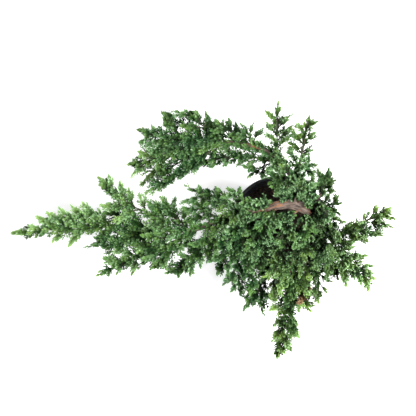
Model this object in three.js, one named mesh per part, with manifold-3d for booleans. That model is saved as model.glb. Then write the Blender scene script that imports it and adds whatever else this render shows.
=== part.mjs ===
// A garden juniper grown on as a bonsai, in a round black nursery pot.
// The trunk leaves the soil near the middle of the pot, leans out, doubles back over itself and runs on as
// one long branch. Its branches carry flat sprays, whose shoots are all clothed in awl-shaped leaves.
// Millimetres, +Z up. The origin is the middle of the pot's underside, where the pot stands on the table.
import * as THREE from "three";
import { mergeVertices } from "three/addons/utils/BufferGeometryUtils.js";
import Module from "manifold-3d";

const wasm = await Module();
wasm.setup();
const { Manifold } = wasm;

// Driving dimensions
const pot = {
  height: 115,
  rimRadius: 75,
  footRadius: 54,
  wall: 1.8,
  floor: 2.4,
  lipWidth: 5,
  lipHeight: 12,
  bevel: 1.4,
  segments: 36,
  drainCount: 6,
  drainRadius: 5,
  drainFrom: 38,
  drainReach: 30,
};
const soil = {
  edgeHeight: 80,
  moundHeight: 85,
  mound: [1, 0.82, 0.6, 0.38], // shares of the radius between which the mound rises in even steps
  lumps: 1.1,
  waves: [[0.31, 0.11], [-0.07, 0.27]], // two slanting waves across each other, in radians per millimetre
  fit: 0.35,
  segments: 28,
};
const trunkForm = {
  flare: 4,
  flareAt: 0.14, // where the foot is widest, as a share of the trunk's length
  flutes: [[3, 6, 0.1], [5, -4, 0.05]], // muscle-like ridges: how many, how far they wind, and how deep
  sides: 9,
  steps: 15,
};
const boughForm = { thickFrom: 4.5, thickSides: 7, thinSides: 5, stepLength: 26, fill: 1.6 };
const clearance = 0.32; // between a spray's root and the bark that carries it, and between sprays
const twig = { rootRadius: 1.6, tipRadius: 1, sides: 3 };
const leaf = {
  length: 6.5,
  spread: 0.75, // lean away from the stem, in radians
  tuftSpread: 0.45,
  band: 12.6, // length of stem between two rings of leaves
  crownLength: 5,
  room: 3.4, // least distance from a leaf to another shoot's stem
  roomStep: 2,
};
const stalk = {
  leaderBare: 5, // bare length at a shoot's foot
  sideBare: 6,
  straight: 4,
  footLength: 3,
  footSides: 6,
  leastAngle: 0.9, // between a spray's stem and its branch, in radians
  seatStep: 0.15,
};
const sideShoots = {
  from: 0.08, // the first and last places where one leaves its leading stem, as shares of its length
  to: 0.9,
  setBack: 0.9, // how far behind its tip it starts, as a share of how far the tip stands out
  forward: 0.5,
  bend: 0.5,
  rises: [4, 7, 1], // how much higher than their feet the tips end, in turn
};
const tipLifts = [0, 5, -5, 10, -10, 16, -16, 23, -23]; // tried in turn, until a shoot clears the others

// The photograph looks straight down. It is 416 pixels square, and a pixel at the height of the rim is
// 1.52 mm.
const photo = { middle: 208, rimScale: 1.52 };
const eye = new THREE.Vector3(-108, 26, 1500);

/** The point that the photograph shows `across` pixels from its left and `down` from its top, at a height. */
function place([across, down, height]) {
  const scale = (photo.rimScale * (eye.z - height)) / (eye.z - pot.height);
  return new THREE.Vector3(
    eye.x + (across - photo.middle) * scale,
    eye.y - (down - photo.middle) * scale,
    height,
  );
}

// Wood: each branch starts inside the one it grew from. Points are [across, down, height], as place reads
// them.
const branches = {
  trunk: {
    radius: [10.5, 5.6],
    points: [
      [291, 231, 48],
      [291, 230, 86],
      [299, 228, 114],
      [308, 222, 142],
      [310, 214, 168],
      [302, 208, 188],
      [290, 204, 202],
      [278, 205, 209],
      [266, 209, 211],
    ],
  },
  left: {
    radius: [5.4, 2],
    points: [
      [270, 207, 211],
      [252, 211, 210],
      [236, 213, 205],
      [220, 218, 199],
      [203, 227, 192],
      [180, 231, 184],
      [150, 229, 172],
    ],
  },
  left_low: {
    radius: [2.8, 1.9],
    points: [
      [199, 228, 190],
      [182, 238, 180],
      [168, 244, 172],
    ],
  },
  left_mid: {
    radius: [3, 2],
    points: [
      [224, 217, 200],
      [213, 231, 192],
      [204, 242, 182],
    ],
  },
  left_back: {
    radius: [3, 2],
    points: [
      [250, 211, 209],
      [238, 206, 214],
      [228, 202, 216],
    ],
  },
  hanging: {
    radius: [4.2, 2],
    points: [
      [268, 208, 211],
      [256, 215, 206],
      [246, 225, 193],
      [241, 236, 178],
    ],
  },
  upper: {
    radius: [5, 2],
    points: [
      [297, 206, 194],
      [295, 192, 204],
      [291, 176, 212],
      [281, 161, 217],
      [266, 151, 218],
      [248, 145, 216],
      [230, 142, 212],
      [208, 146, 205],
    ],
  },
  upper_low: {
    radius: [3, 2],
    points: [
      [279, 160, 217],
      [268, 160, 208],
      [256, 158, 202],
    ],
  },
  top_left: {
    radius: [2.8, 2],
    points: [
      [285, 166, 215],
      [280, 157, 222],
    ],
  },
  top_right: {
    radius: [3, 2],
    points: [
      [293, 182, 209],
      [299, 167, 219],
      [301, 158, 223],
    ],
  },
  back_right: {
    radius: [3.6, 2],
    points: [
      [310, 214, 168],
      [316, 203, 184],
      [321, 193, 193],
    ],
  },
  right_up: {
    radius: [3.8, 2],
    points: [
      [309, 218, 156],
      [323, 228, 170],
      [334, 233, 177],
    ],
  },
  right_low: {
    radius: [3.8, 2],
    points: [
      [305, 224, 132],
      [320, 238, 148],
      [330, 247, 152],
    ],
  },
  front: {
    radius: [4, 2],
    points: [
      [303, 226, 124],
      [297, 243, 152],
      [292, 258, 163],
      [289, 274, 158],
    ],
  },
  front_right: {
    radius: [3.2, 2],
    points: [
      [304, 225, 128],
      [312, 248, 134],
      [316, 262, 132],
    ],
  },
  front_left: {
    radius: [3.4, 2],
    points: [
      [297, 229, 108],
      [280, 241, 132],
      [270, 257, 137],
    ],
  },
};
// Dead stubs left on the trunk where branches were cut, as [across, down, height] at their foot and end.
const stubs = [
  { foot: [293, 204, 200], end: [296, 195, 213], radius: [2.6, 0.9] },
  { foot: [300, 208, 190], end: [293, 215, 198], radius: [2.4, 0.9] },
  { foot: [309, 218, 158], end: [316, 213, 171], radius: [2.4, 1] },
];

// Sprays: the branch, how far along it the spray grows, the line of its leading stem after the root as
// [across, down, height], and the tips of its side shoots as [across, down].
const sprays = [
  {
    name: "left_tip",
    on: "left",
    at: 1,
    line: [[118, 227, 158], [92, 226, 145], [60, 229, 131], [13, 233, 118]],
    tips: [
      [38, 217], [30, 226], [53, 241], [48, 213], [60, 209], [69, 245],
      [72, 207], [84, 204], [97, 243], [100, 212],
    ],
  },
  {
    name: "left_up",
    on: "left",
    at: 0.82,
    line: [[160, 222, 182], [144, 211, 184], [124, 203, 180], [97, 176, 172]],
    tips: [[109, 177], [120, 183], [104, 205], [129, 190], [141, 198], [120, 217]],
  },
  {
    name: "left_over",
    on: "left",
    at: 0.66,
    line: [[174, 216, 194], [163, 200, 199]],
    tips: [[150, 203], [174, 201], [184, 212]],
  },
  {
    name: "left_inner",
    on: "left",
    at: 0.42,
    line: [[204, 211, 207], [193, 201, 211]],
    tips: [[203, 203], [186, 208]],
  },
  {
    name: "left_under",
    on: "left",
    at: 0.93,
    line: [[140, 240, 166], [120, 243, 156], [104, 248, 149]],
    tips: [[121, 234], [112, 240], [138, 250]],
  },
  {
    name: "left_low",
    on: "left_low",
    at: 1,
    line: [[150, 251, 162], [130, 259, 150], [96, 276, 131]],
    tips: [[105, 259], [117, 273], [118, 249], [132, 274]],
  },
  {
    name: "left_low_side",
    on: "left_low",
    at: 0.55,
    line: [[168, 253, 174], [152, 268, 164]],
    tips: [[163, 267], [146, 259]],
  },
  {
    name: "left_between",
    on: "left",
    at: 0.78,
    line: [[168, 238, 190], [152, 243, 186]],
    tips: [[158, 234], [144, 236]],
  },
  {
    name: "left_mid",
    on: "left_mid",
    at: 1,
    line: [[194, 255, 172], [180, 267, 160], [168, 273, 155]],
    tips: [[178, 276], [190, 274], [184, 256], [200, 266], [184, 246]],
  },
  {
    name: "left_mid_side",
    on: "left_mid",
    at: 0.55,
    line: [[213, 244, 186], [207, 262, 172]],
    tips: [[216, 252], [194, 245]],
  },
  {
    name: "left_back",
    on: "left_back",
    at: 1,
    line: [[210, 197, 219], [189, 189, 213]],
    tips: [[187, 200], [199, 187], [206, 204], [216, 188]],
  },
  {
    name: "left_back_side",
    on: "left_back",
    at: 0.5,
    line: [[238, 197, 220], [227, 188, 222]],
    tips: [[240, 189], [224, 196]],
  },
  {
    name: "hanging",
    on: "hanging",
    at: 1,
    line: [[237, 255, 158], [238, 275, 138], [240, 292, 122]],
    tips: [[232, 291], [224, 284], [248, 276], [246, 262]],
  },
  {
    name: "hanging_left",
    on: "hanging",
    at: 0.8,
    line: [[228, 250, 170], [217, 274, 148]],
    tips: [[210, 261], [228, 272], [216, 250]],
  },
  {
    name: "hanging_top",
    on: "hanging",
    at: 0.5,
    line: [[234, 232, 196], [222, 240, 190], [212, 249, 180]],
    tips: [[213, 240], [226, 230], [228, 246]],
  },
  {
    name: "hanging_right",
    on: "hanging",
    at: 0.28,
    line: [[256, 232, 203], [258, 252, 190]],
    tips: [[249, 246], [266, 244], [246, 234]],
  },
  {
    name: "crown",
    on: "trunk",
    at: 0.93,
    line: [[266, 222, 217], [270, 234, 214]],
    tips: [[258, 226], [277, 224]],
  },
  {
    name: "crown_right",
    on: "trunk",
    at: 0.8,
    line: [[285, 224, 207], [281, 245, 197]],
    tips: [[276, 242], [292, 238]],
  },
  {
    name: "crown_back",
    on: "trunk",
    at: 0.68,
    line: [[306, 226, 200], [302, 246, 188]],
    tips: [[296, 246], [310, 240], [313, 230]],
  },
  {
    name: "crown_edge",
    on: "trunk",
    at: 0.55,
    line: [[320, 208, 204], [332, 214, 204]],
    tips: [[328, 202], [330, 224]],
  },
  {
    name: "upper_tip",
    on: "upper",
    at: 1,
    line: [[188, 151, 197], [165, 158, 187], [130, 164, 173]],
    tips: [[139, 152], [134, 173], [144, 182], [160, 147]],
  },
  {
    name: "upper_left",
    on: "upper",
    at: 0.94,
    line: [[190, 139, 209], [165, 137, 206], [138, 130, 200]],
    tips: [[150, 144], [141, 141], [162, 113], [152, 127]],
  },
  {
    name: "upper_mid",
    on: "upper",
    at: 0.85,
    line: [[208, 130, 218], [185, 110, 218]],
    tips: [[178, 112], [196, 112], [206, 114], [186, 126]],
  },
  {
    name: "upper_side",
    on: "upper",
    at: 0.74,
    line: [[232, 132, 220], [215, 119, 222]],
    tips: [[229, 120], [214, 130]],
  },
  {
    name: "upper_right",
    on: "upper",
    at: 0.62,
    line: [[250, 137, 222], [240, 123, 224]],
    tips: [[251, 127], [258, 133], [234, 134]],
  },
  {
    name: "upper_under",
    on: "upper",
    at: 0.95,
    line: [[196, 160, 196], [178, 172, 184]],
    tips: [[150, 190], [194, 169]],
  },
  {
    name: "upper_low",
    on: "upper_low",
    at: 1,
    line: [[236, 156, 195], [215, 158, 189], [196, 163, 180]],
    tips: [[224, 165], [212, 166], [239, 163], [226, 150]],
  },
  {
    name: "upper_low_side",
    on: "upper_low",
    at: 0.55,
    line: [[262, 168, 204], [250, 175, 198]],
    tips: [[245, 167], [262, 177]],
  },
  {
    name: "centre_back",
    on: "upper",
    at: 0.25,
    line: [[279, 178, 219], [269, 183, 221]],
    tips: [[270, 174], [276, 191]],
  },
  {
    name: "top_left",
    on: "top_left",
    at: 1,
    line: [[277, 140, 228], [278, 120, 232], [278, 103, 233]],
    tips: [[267, 112], [288, 117], [268, 124], [290, 127], [270, 136], [285, 139]],
  },
  {
    name: "top_right",
    on: "top_right",
    at: 1,
    line: [[304, 145, 227], [306, 130, 229], [309, 117, 230]],
    tips: [[316, 122], [300, 126], [313, 134], [294, 132], [311, 150], [295, 146]],
  },
  {
    name: "top_inner",
    on: "top_right",
    at: 0.5,
    line: [[307, 167, 219], [314, 164, 218]],
    tips: [[309, 158], [312, 174]],
  },
  {
    name: "back_right",
    on: "back_right",
    at: 1,
    line: [[325, 182, 199], [329, 169, 203]],
    tips: [[333, 181], [319, 172], [333, 191]],
  },
  {
    name: "back_right_side",
    on: "back_right",
    at: 0.5,
    line: [[328, 206, 182], [341, 203, 178]],
    tips: [[338, 197], [338, 213], [329, 195]],
  },
  {
    name: "back_inner",
    on: "back_right",
    at: 0.8,
    line: [[310, 189, 198], [302, 180, 204]],
    tips: [[312, 179], [302, 191]],
  },
  {
    name: "right_up",
    on: "right_up",
    at: 1,
    line: [[350, 230, 181], [370, 218, 181], [391, 208, 179]],
    tips: [[376, 207], [393, 218], [391, 227], [381, 235], [366, 240], [364, 218]],
  },
  {
    name: "right_up_side",
    on: "right_up",
    at: 0.55,
    line: [[328, 218, 178], [341, 221, 180]],
    tips: [[334, 212], [338, 238]],
  },
  {
    name: "right_low",
    on: "right_low",
    at: 1,
    line: [[345, 258, 151], [360, 270, 145], [374, 279, 137]],
    tips: [[368, 289], [371, 266], [366, 256], [352, 248], [346, 284], [361, 284]],
  },
  {
    name: "right_low_side",
    on: "right_low",
    at: 0.65,
    line: [[329, 262, 148], [338, 278, 139]],
    tips: [[344, 268], [328, 276]],
  },
  {
    name: "front",
    on: "front",
    at: 1,
    line: [[288, 296, 136], [284, 320, 108], [277, 359, 72]],
    tips: [[272, 341], [291, 350], [299, 337], [274, 325], [297, 324], [273, 309], [284, 352]],
  },
  {
    name: "front_side",
    on: "front",
    at: 0.8,
    line: [[279, 272, 165], [270, 286, 156]],
    tips: [[266, 276], [279, 289], [272, 296]],
  },
  {
    name: "front_over",
    on: "front",
    at: 0.5,
    line: [[304, 258, 168], [309, 276, 160]],
    tips: [[316, 268], [300, 274], [306, 284]],
  },
  {
    name: "front_end",
    on: "front",
    at: 0.93,
    line: [[297, 289, 150], [311, 312, 136]],
    tips: [[300, 306], [307, 294], [293, 300]],
  },
  {
    name: "front_right",
    on: "front_right",
    at: 1,
    line: [[319, 280, 124], [318, 303, 112]],
    tips: [[309, 296], [327, 280], [326, 292]],
  },
  {
    name: "front_left",
    on: "front_left",
    at: 1,
    line: [[264, 275, 130], [260, 292, 118], [262, 310, 106]],
    tips: [[250, 290], [244, 309], [248, 299], [271, 298]],
  },
  {
    name: "front_left_side",
    on: "front_left",
    at: 0.65,
    line: [[264, 247, 143], [251, 268, 138]],
    tips: [[252, 252], [262, 266]],
  },
];

const finishes = {
  bark: { color: 0x6b4a35, roughness: 0.85 },
  pot: { color: 0x24272a, roughness: 0.45 },
  soil: { color: 0x2b221b, roughness: 0.95 },
  green: { color: 0x4f7340, roughness: 0.6 },
  light: { color: 0x7fa25c, roughness: 0.6 },
};
const lightSprays = new Set([
  "left_tip",
  "left_up",
  "upper_tip",
  "front",
  "right_low",
  "top_right",
]);

// Solids

/** A closed three.js geometry as a solid for cutting and joining. */
function solid(geometry) {
  const bare = new THREE.BufferGeometry()
    .setAttribute("position", geometry.getAttribute("position"))
    .setIndex(geometry.index);
  const merged = mergeVertices(bare, 1e-4);
  return new Manifold(
    new wasm.Mesh({
      numProp: 3,
      vertProperties: new Float32Array(merged.attributes.position.array),
      triVerts: new Uint32Array(merged.index.array),
    }),
  );
}

/** A joined body without the sealed hollows and loose scraps that joining can leave. */
function sound(body) {
  const shells = body.simplify(0.05).decompose();
  return shells.sort((a, b) => b.volume() - a.volume())[0];
}

/** A named mesh of a solid. */
function mesh(name, body, finish) {
  const made = sound(body).getMesh();
  const geometry = new THREE.BufferGeometry()
    .setAttribute("position", new THREE.BufferAttribute(new Float32Array(made.vertProperties), 3))
    .setIndex(new THREE.BufferAttribute(new Uint32Array(made.triVerts), 1));
  geometry.computeVertexNormals();
  const material = new THREE.MeshStandardMaterial({ ...finish, metalness: 0 });
  const result = new THREE.Mesh(geometry, material);
  result.name = name;
  return result;
}

/** A lathe of an [radius, height] outline that starts and ends on the axis, turned about +Z. */
function turned(outline, segments) {
  const points = outline.map(([radius, height]) => new THREE.Vector2(radius, height));
  return new THREE.LatheGeometry(points, segments).rotateX(Math.PI / 2);
}

// Pot and soil

/** The pot's inner radius at a height. */
function innerRadius(height) {
  const top = pot.rimRadius - pot.lipWidth;
  const slope = (top - (pot.footRadius - pot.wall)) / pot.height;
  return pot.footRadius - pot.wall + slope * height;
}

function potSolid() {
  const shoulder = pot.height - pot.lipHeight;
  const body = solid(
    turned(
      [
        [0, 0],
        [pot.footRadius - pot.bevel, 0],
        [pot.footRadius, pot.bevel],
        [innerRadius(shoulder) + pot.wall, shoulder],
        [pot.rimRadius - pot.bevel, shoulder],
        [pot.rimRadius, shoulder + pot.bevel],
        [pot.rimRadius, pot.height - pot.bevel],
        [pot.rimRadius - pot.bevel, pot.height],
        [innerRadius(pot.height) + pot.bevel, pot.height],
        [innerRadius(pot.height - pot.bevel), pot.height - pot.bevel],
        [innerRadius(pot.floor), pot.floor],
        [0, pot.floor],
      ],
      pot.segments,
    ),
  );
  const drains = Array.from({ length: pot.drainCount }, (_, i) => {
    const drain = new THREE.CylinderGeometry(pot.drainRadius, pot.drainRadius, pot.drainReach, 8);
    drain.rotateZ(Math.PI / 2).translate(pot.drainFrom + pot.drainReach / 2, 0, 0);
    return solid(drain.rotateZ(((i + 0.5) / pot.drainCount) * 2 * Math.PI));
  });
  return body.subtract(Manifold.union(drains));
}

/** Height of the soil's lumps over its mound. */
function lumpHeight(x, y) {
  const [[a, b], [c, d]] = soil.waves;
  return soil.lumps * Math.sin(a * x + b * y) * Math.cos(c * x + d * y);
}

function soilSolid(trunkInSoil) {
  const edge = innerRadius(soil.edgeHeight) - soil.fit;
  const base = pot.floor + soil.fit;
  const rise = (soil.moundHeight - soil.edgeHeight) / (soil.mound.length - 1);
  const slope = soil.mound.map((share, i) => [edge * share, soil.edgeHeight + rise * i]);
  const outline = [[0, base], [innerRadius(base) - soil.fit, base], ...slope, [0, soil.moundHeight]];
  const geometry = turned(outline, soil.segments);
  const at = geometry.getAttribute("position");
  for (let i = 0; i < at.count; i++) {
    if (at.getZ(i) > soil.edgeHeight) at.setZ(i, at.getZ(i) + lumpHeight(at.getX(i), at.getY(i)));
  }
  return solid(geometry).subtract(trunkInSoil);
}

// Wood

/** The smooth line through a branch's points. */
function lineOf(points) {
  return new THREE.CatmullRomCurve3(points.map(place), false, "catmullrom", 0.5);
}

/** A cylinder bent along a line, its radius given at each share of the length and angle. */
function bentCylinder(line, radiusAt, sides, steps) {
  const geometry = new THREE.CylinderGeometry(1, 1, 1, sides, steps);
  const frames = line.computeFrenetFrames(steps, false);
  const at = geometry.getAttribute("position");
  const point = new THREE.Vector3();
  for (let i = 0; i < at.count; i++) {
    const step = Math.round((at.getY(i) + 0.5) * steps);
    const [across, along] = [at.getX(i), at.getZ(i)];
    const reach = Math.hypot(across, along);
    const radius = reach * radiusAt(step / steps, Math.atan2(along, across));
    line.getPointAt(step / steps, point);
    if (reach > 0) {
      point.addScaledVector(frames.normals[step], (radius * across) / reach);
      point.addScaledVector(frames.binormals[step], (-radius * along) / reach);
    }
    at.setXYZ(i, point.x, point.y, point.z);
  }
  return solid(geometry);
}

/** The radius of a branch at a share of its length. */
function branchRadius({ radius: [thick, thin] }, share) {
  return thick + (thin - thick) * share;
}

/** The trunk's radius: a flared foot, and muscle-like flutes that wind round it. */
function trunkRadius(share, angle) {
  const { flare, flareAt, flutes } = trunkForm;
  const foot = flare * Math.max(0, 1 - Math.abs(share - flareAt) / flareAt);
  const swell = flutes.map(([count, winding, depth]) => depth * Math.cos(count * angle + winding * share));
  return (branchRadius(branches.trunk, share) + foot) * swell.reduce((sum, one) => sum + one, 1);
}

/** A branch of few sides, drawn wider than the circle's polygon so that it holds as much wood. */
function branchSolid(name) {
  const branch = branches[name];
  const line = lineOf(branch.points);
  const sides = branch.radius[0] > boughForm.thickFrom ? boughForm.thickSides : boughForm.thinSides;
  const steps = Math.round(line.getLength() / boughForm.stepLength);
  const wider = 1 / Math.cos(Math.PI / sides / boughForm.fill);
  return bentCylinder(line, (share) => branchRadius(branch, share) * wider, sides, steps);
}

function stubSolid(stub) {
  const line = new THREE.LineCurve3(place(stub.foot), place(stub.end));
  return bentCylinder(line, (share) => branchRadius(stub, share), boughForm.thinSides, 2);
}

/** The trunk, or the hole that it fills in the soil when it is drawn `wider` and `deeper`. */
function trunkSolid(wider = 0, deeper = 0) {
  const [[across, down, height], ...rest] = branches.trunk.points;
  const line = lineOf([[across, down, height - deeper], ...rest]);
  const radiusAt = (share, angle) => trunkRadius(share, angle) + wider;
  return bentCylinder(line, radiusAt, trunkForm.sides, trunkForm.steps);
}

function woodSolid() {
  const grown = Object.keys(branches).filter((name) => name !== "trunk");
  return Manifold.union([trunkSolid(), ...grown.map(branchSolid), ...stubs.map(stubSolid)]);
}

// Leafy shoots

/** Frames carried along a path without twisting: at each share, the point, the way on and two ways across. */
function framesAlong(path, shares) {
  const nearlyParallel = 0.95;
  let across = new THREE.Vector3(0, 0, 1);
  return shares.map((share) => {
    const on = path.getTangent(share);
    if (Math.abs(across.dot(on)) > nearlyParallel) across = new THREE.Vector3(0.6, 0.8, 0);
    across = across.clone().addScaledVector(on, -across.dot(on)).normalize();
    return { point: path.getPoint(share), on, across, side: on.clone().cross(across) };
  });
}

/**
 * A shoot: a slim three-sided stem whose rings turn by a sixth from one to the next. The six facets between
 * two leafy rings are each drawn out into an awl-shaped leaf, as are the three that close the tip. The rings
 * and leaves are `wider` by the clearance while room is sought, and a leaf near a point to avoid isn't grown.
 */
function shoot({ path, bare, rootRadius }, wider = 0, avoid = []) {
  const length = path.getLength();
  const crownStart = 1 - leaf.crownLength / length;
  const leafyStart = Math.min(bare / length, crownStart / 2);
  const bands = Math.max(1, Math.round(((crownStart - leafyStart) * length) / leaf.band));
  const shares = [0];
  for (let i = 0; i <= bands; i++) shares.push(leafyStart + ((crownStart - leafyStart) * i) / bands);
  const frames = framesAlong(path, shares);
  const vertices = [];
  const faces = [];
  frames.forEach(({ point, across, side }, i) => {
    const onward = i / (frames.length - 1);
    const radius = rootRadius + (twig.tipRadius - rootRadius) * onward + wider;
    for (let k = 0; k < twig.sides; k++) {
      const angle = ((k * 2 + (i % 2)) * Math.PI) / twig.sides;
      const out = across.clone().multiplyScalar(Math.cos(angle)).addScaledVector(side, Math.sin(angle));
      vertices.push(point.clone().addScaledVector(out, radius));
    }
  });
  const leafOn = (a, b, c, { point, on }, spread) => {
    const foot = vertices[a].clone().add(vertices[b]).add(vertices[c]).divideScalar(3);
    const out = foot.clone().sub(point);
    out.addScaledVector(on, -out.dot(on)).normalize();
    const reach = leaf.length + wider * 2;
    const tip = foot.clone();
    tip.addScaledVector(out, reach * Math.sin(spread)).addScaledVector(on, reach * Math.cos(spread));
    const middle = foot.clone().lerp(tip, 0.5);
    if (avoid.some((near) => Math.min(near.distanceTo(tip), near.distanceTo(middle)) < leaf.room)) {
      faces.push(a, b, c);
      return;
    }
    const apex = vertices.push(tip) - 1;
    faces.push(a, b, apex, b, c, apex, c, a, apex);
  };
  faces.push(2, 1, 0);
  for (let i = 0; i + 1 < frames.length; i++) {
    for (let k = 0; k < twig.sides; k++) {
      const [low, lowNext] = [k, k + 1].map((n) => twig.sides * i + (n % twig.sides));
      const [high, highNext] = [k, k + 1].map((n) => twig.sides * (i + 1) + ((n + (i % 2)) % twig.sides));
      if (i === 0) {
        faces.push(low, lowNext, high, lowNext, highNext, high);
      } else {
        leafOn(low, lowNext, high, frames[i], leaf.spread);
        leafOn(lowNext, highNext, high, frames[i], leaf.spread);
      }
    }
  }
  const last = twig.sides * (frames.length - 1);
  const end = vertices.push(path.getPoint(1)) - 1;
  for (let k = 0; k < twig.sides; k++) {
    leafOn(last + k, last + ((k + 1) % twig.sides), end, frames[frames.length - 1], leaf.tuftSpread);
  }
  return new Manifold(
    new wasm.Mesh({
      numProp: 3,
      vertProperties: new Float32Array(vertices.flatMap((v) => [v.x, v.y, v.z])),
      triVerts: new Uint32Array(faces),
    }),
  );
}

/** The foot of a stalk, wider by the clearance and starting that much earlier. */
function stalkFoot(root, heading) {
  const radius = twig.rootRadius + clearance;
  const geometry = new THREE.CylinderGeometry(radius, radius, stalk.footLength + clearance, stalk.footSides);
  geometry.translate(0, (stalk.footLength - clearance) / 2, 0);
  geometry.applyQuaternion(new THREE.Quaternion().setFromUnitVectors(new THREE.Vector3(0, 1, 0), heading));
  return solid(geometry.translate(root.x, root.y, root.z));
}

/** Where a spray grows from the wood, as near the bark as the clearance lets it, and which way it starts. */
function rootOf({ on, at, line }, wood) {
  const branch = lineOf(branches[on].points);
  const onward = branch.getTangentAt(at);
  const root = branch.getPointAt(at);
  if (at === 1) return { root: root.addScaledVector(onward, clearance), heading: onward };
  const heading = place(line[0]).sub(root).normalize();
  const square = heading.clone().addScaledVector(onward, -heading.dot(onward)).normalize();
  const lean = THREE.MathUtils.clamp(heading.angleTo(onward), stalk.leastAngle, Math.PI - stalk.leastAngle);
  heading.copy(onward).multiplyScalar(Math.cos(lean)).addScaledVector(square, Math.sin(lean));
  while (!stalkFoot(root, heading).intersect(wood).isEmpty()) root.addScaledVector(heading, stalk.seatStep);
  return { root, heading };
}

const placed = []; // the solids in place so far, as { node, body, box }

function clearOfOthers(body, node) {
  const box = body.boundingBox();
  const apart = (other) => box.min.some((low, i) => low > other.max[i] || box.max[i] < other.min[i]);
  return placed.every(
    (other) => other.node === node || apart(other.box) || body.intersect(other.body).isEmpty(),
  );
}

function settle(body, node) {
  placed.push({ node, body, box: body.boundingBox() });
  return body;
}

/** A shoot with the first lift of its tip that keeps it clear of the other sprays and the wood. */
function grow(node, pathAt, bare, rootRadius) {
  for (const lift of tipLifts) {
    const made = { path: pathAt(lift), bare, rootRadius };
    if (clearOfOthers(shoot(made, clearance), node)) {
      made.points = made.path.getSpacedPoints(Math.ceil(made.path.getLength() / leaf.roomStep));
      settle(shoot(made), node);
      return made;
    }
  }
  return null;
}

/** A side shoot from a point: it leaves along `heading` and bends over to its tip. */
function sideShoot(node, start, heading, tip, rootRadius) {
  const bend = start.clone().addScaledVector(heading, start.distanceTo(tip) * sideShoots.bend);
  const pathAt = (lift) => new THREE.QuadraticBezierCurve3(start, bend, tip.clone().setZ(tip.z + lift));
  return grow(node, pathAt, stalk.sideBare, rootRadius);
}

/** Shoots joined into one body. A leaf that would run into another shoot isn't grown. */
function joined(shoots) {
  const bodies = shoots.map((one) => {
    const neighbours = shoots.filter((other) => other !== one).flatMap(({ points }) => points);
    return shoot(one, 0, neighbours);
  });
  return Manifold.union(bodies);
}

/** A spray's leading stem, and side shoots that leave it at about 45 degrees, so behind their tips. */
function sprayShoots(spray, wood) {
  const { root, heading } = rootOf(spray, wood);
  const line = spray.line.map(place);
  const straight = root.clone().addScaledVector(heading, stalk.straight);
  const pathAt = (lift) => {
    const lifted = line.map((point, i) => point.clone().setZ(point.z + (lift * (i + 1)) / line.length));
    return new THREE.CatmullRomCurve3([root, straight, ...lifted]);
  };
  const leader = grow(spray.name, pathAt, stalk.leaderBare, twig.rootRadius);
  if (!leader) throw new Error(`${spray.name} has no room for its leading stem`);
  const shoots = [leader];
  const steps = leader.points.length;
  const along = leader.path.getPoints(steps);
  spray.tips.forEach(([across, down], i) => {
    const flatTip = place([across, down, (root.z + line[line.length - 1].z) / 2]);
    const apart = along.map((point) => Math.hypot(point.x - flatTip.x, point.y - flatTip.y));
    const nearest = apart.indexOf(Math.min(...apart));
    const setBack = (apart[nearest] * sideShoots.setBack) / leader.path.getLength();
    const share = THREE.MathUtils.clamp(nearest / steps - setBack, sideShoots.from, sideShoots.to);
    const start = leader.path.getPoint(share);
    const end = place([across, down, start.z + sideShoots.rises[i % sideShoots.rises.length]]);
    const way = end.clone().sub(start).normalize();
    way.addScaledVector(leader.path.getTangent(share), sideShoots.forward).normalize();
    const made = sideShoot(spray.name, start, way, end, (twig.rootRadius + twig.tipRadius) / 2);
    if (made) shoots.push(made);
  });
  return shoots;
}

// The whole plant

const group = new THREE.Group();
const wood = woodSolid();
settle(wood, "trunk_and_branches");
group.add(mesh("pot", potSolid(), finishes.pot));
group.add(mesh("soil", soilSolid(trunkSolid(soil.fit, soil.fit)), finishes.soil));
group.add(mesh("trunk_and_branches", wood, finishes.bark));
for (const spray of sprays) {
  const finish = lightSprays.has(spray.name) ? finishes.light : finishes.green;
  group.add(mesh(`spray_${spray.name}`, joined(sprayShoots(spray, wood)), finish));
}

export default group;
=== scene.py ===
"""Dresses a young juniper bonsai: leafy sprays, barked wood, a black nursery pot, potting mix, a studio."""

import math

import bpy
import numpy as np
from bpy.props import FloatProperty, FloatVectorProperty, IntProperty, PointerProperty
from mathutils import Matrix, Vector


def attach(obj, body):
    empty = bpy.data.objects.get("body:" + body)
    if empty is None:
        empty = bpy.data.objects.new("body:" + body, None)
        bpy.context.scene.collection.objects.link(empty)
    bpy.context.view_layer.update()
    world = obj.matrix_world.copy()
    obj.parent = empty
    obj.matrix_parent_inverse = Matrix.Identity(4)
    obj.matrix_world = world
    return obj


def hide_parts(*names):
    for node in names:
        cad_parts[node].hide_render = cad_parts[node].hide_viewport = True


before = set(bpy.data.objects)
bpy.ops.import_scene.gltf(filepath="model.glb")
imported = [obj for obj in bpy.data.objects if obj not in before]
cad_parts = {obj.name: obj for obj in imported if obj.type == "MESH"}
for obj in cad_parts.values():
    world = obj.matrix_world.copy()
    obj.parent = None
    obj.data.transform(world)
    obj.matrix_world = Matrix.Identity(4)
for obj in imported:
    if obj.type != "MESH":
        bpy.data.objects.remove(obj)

bl_info = {
    "name": "Juniper Bonsai",
    "version": (1, 0, 0),
    "blender": (4, 5, 0),
    "location": "View3D > Sidebar > Juniper",
    "description": "Grows the leaves, bark, pot and potting mix of a young juniper bonsai",
    "category": "Add Mesh",
}

BODY = "root"
MM = 0.001
UP = np.array([0.0, 0.0, 1.0])
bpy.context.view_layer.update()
WHITE = (1, 1, 1, 1)

# Sockets by number, because several sockets of these nodes share a name.
MIX_FACTOR, MIX_FIRST, MIX_SECOND, MIX_COLOUR = 0, 6, 7, 2
RANGE_VALUE, RANGE_FROM_LOW, RANGE_FROM_HIGH, RANGE_TO_LOW, RANGE_TO_HIGH = range(5)

# Random numbers along each side of the lattice that noise is drawn from.
LATTICE = 256

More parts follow.
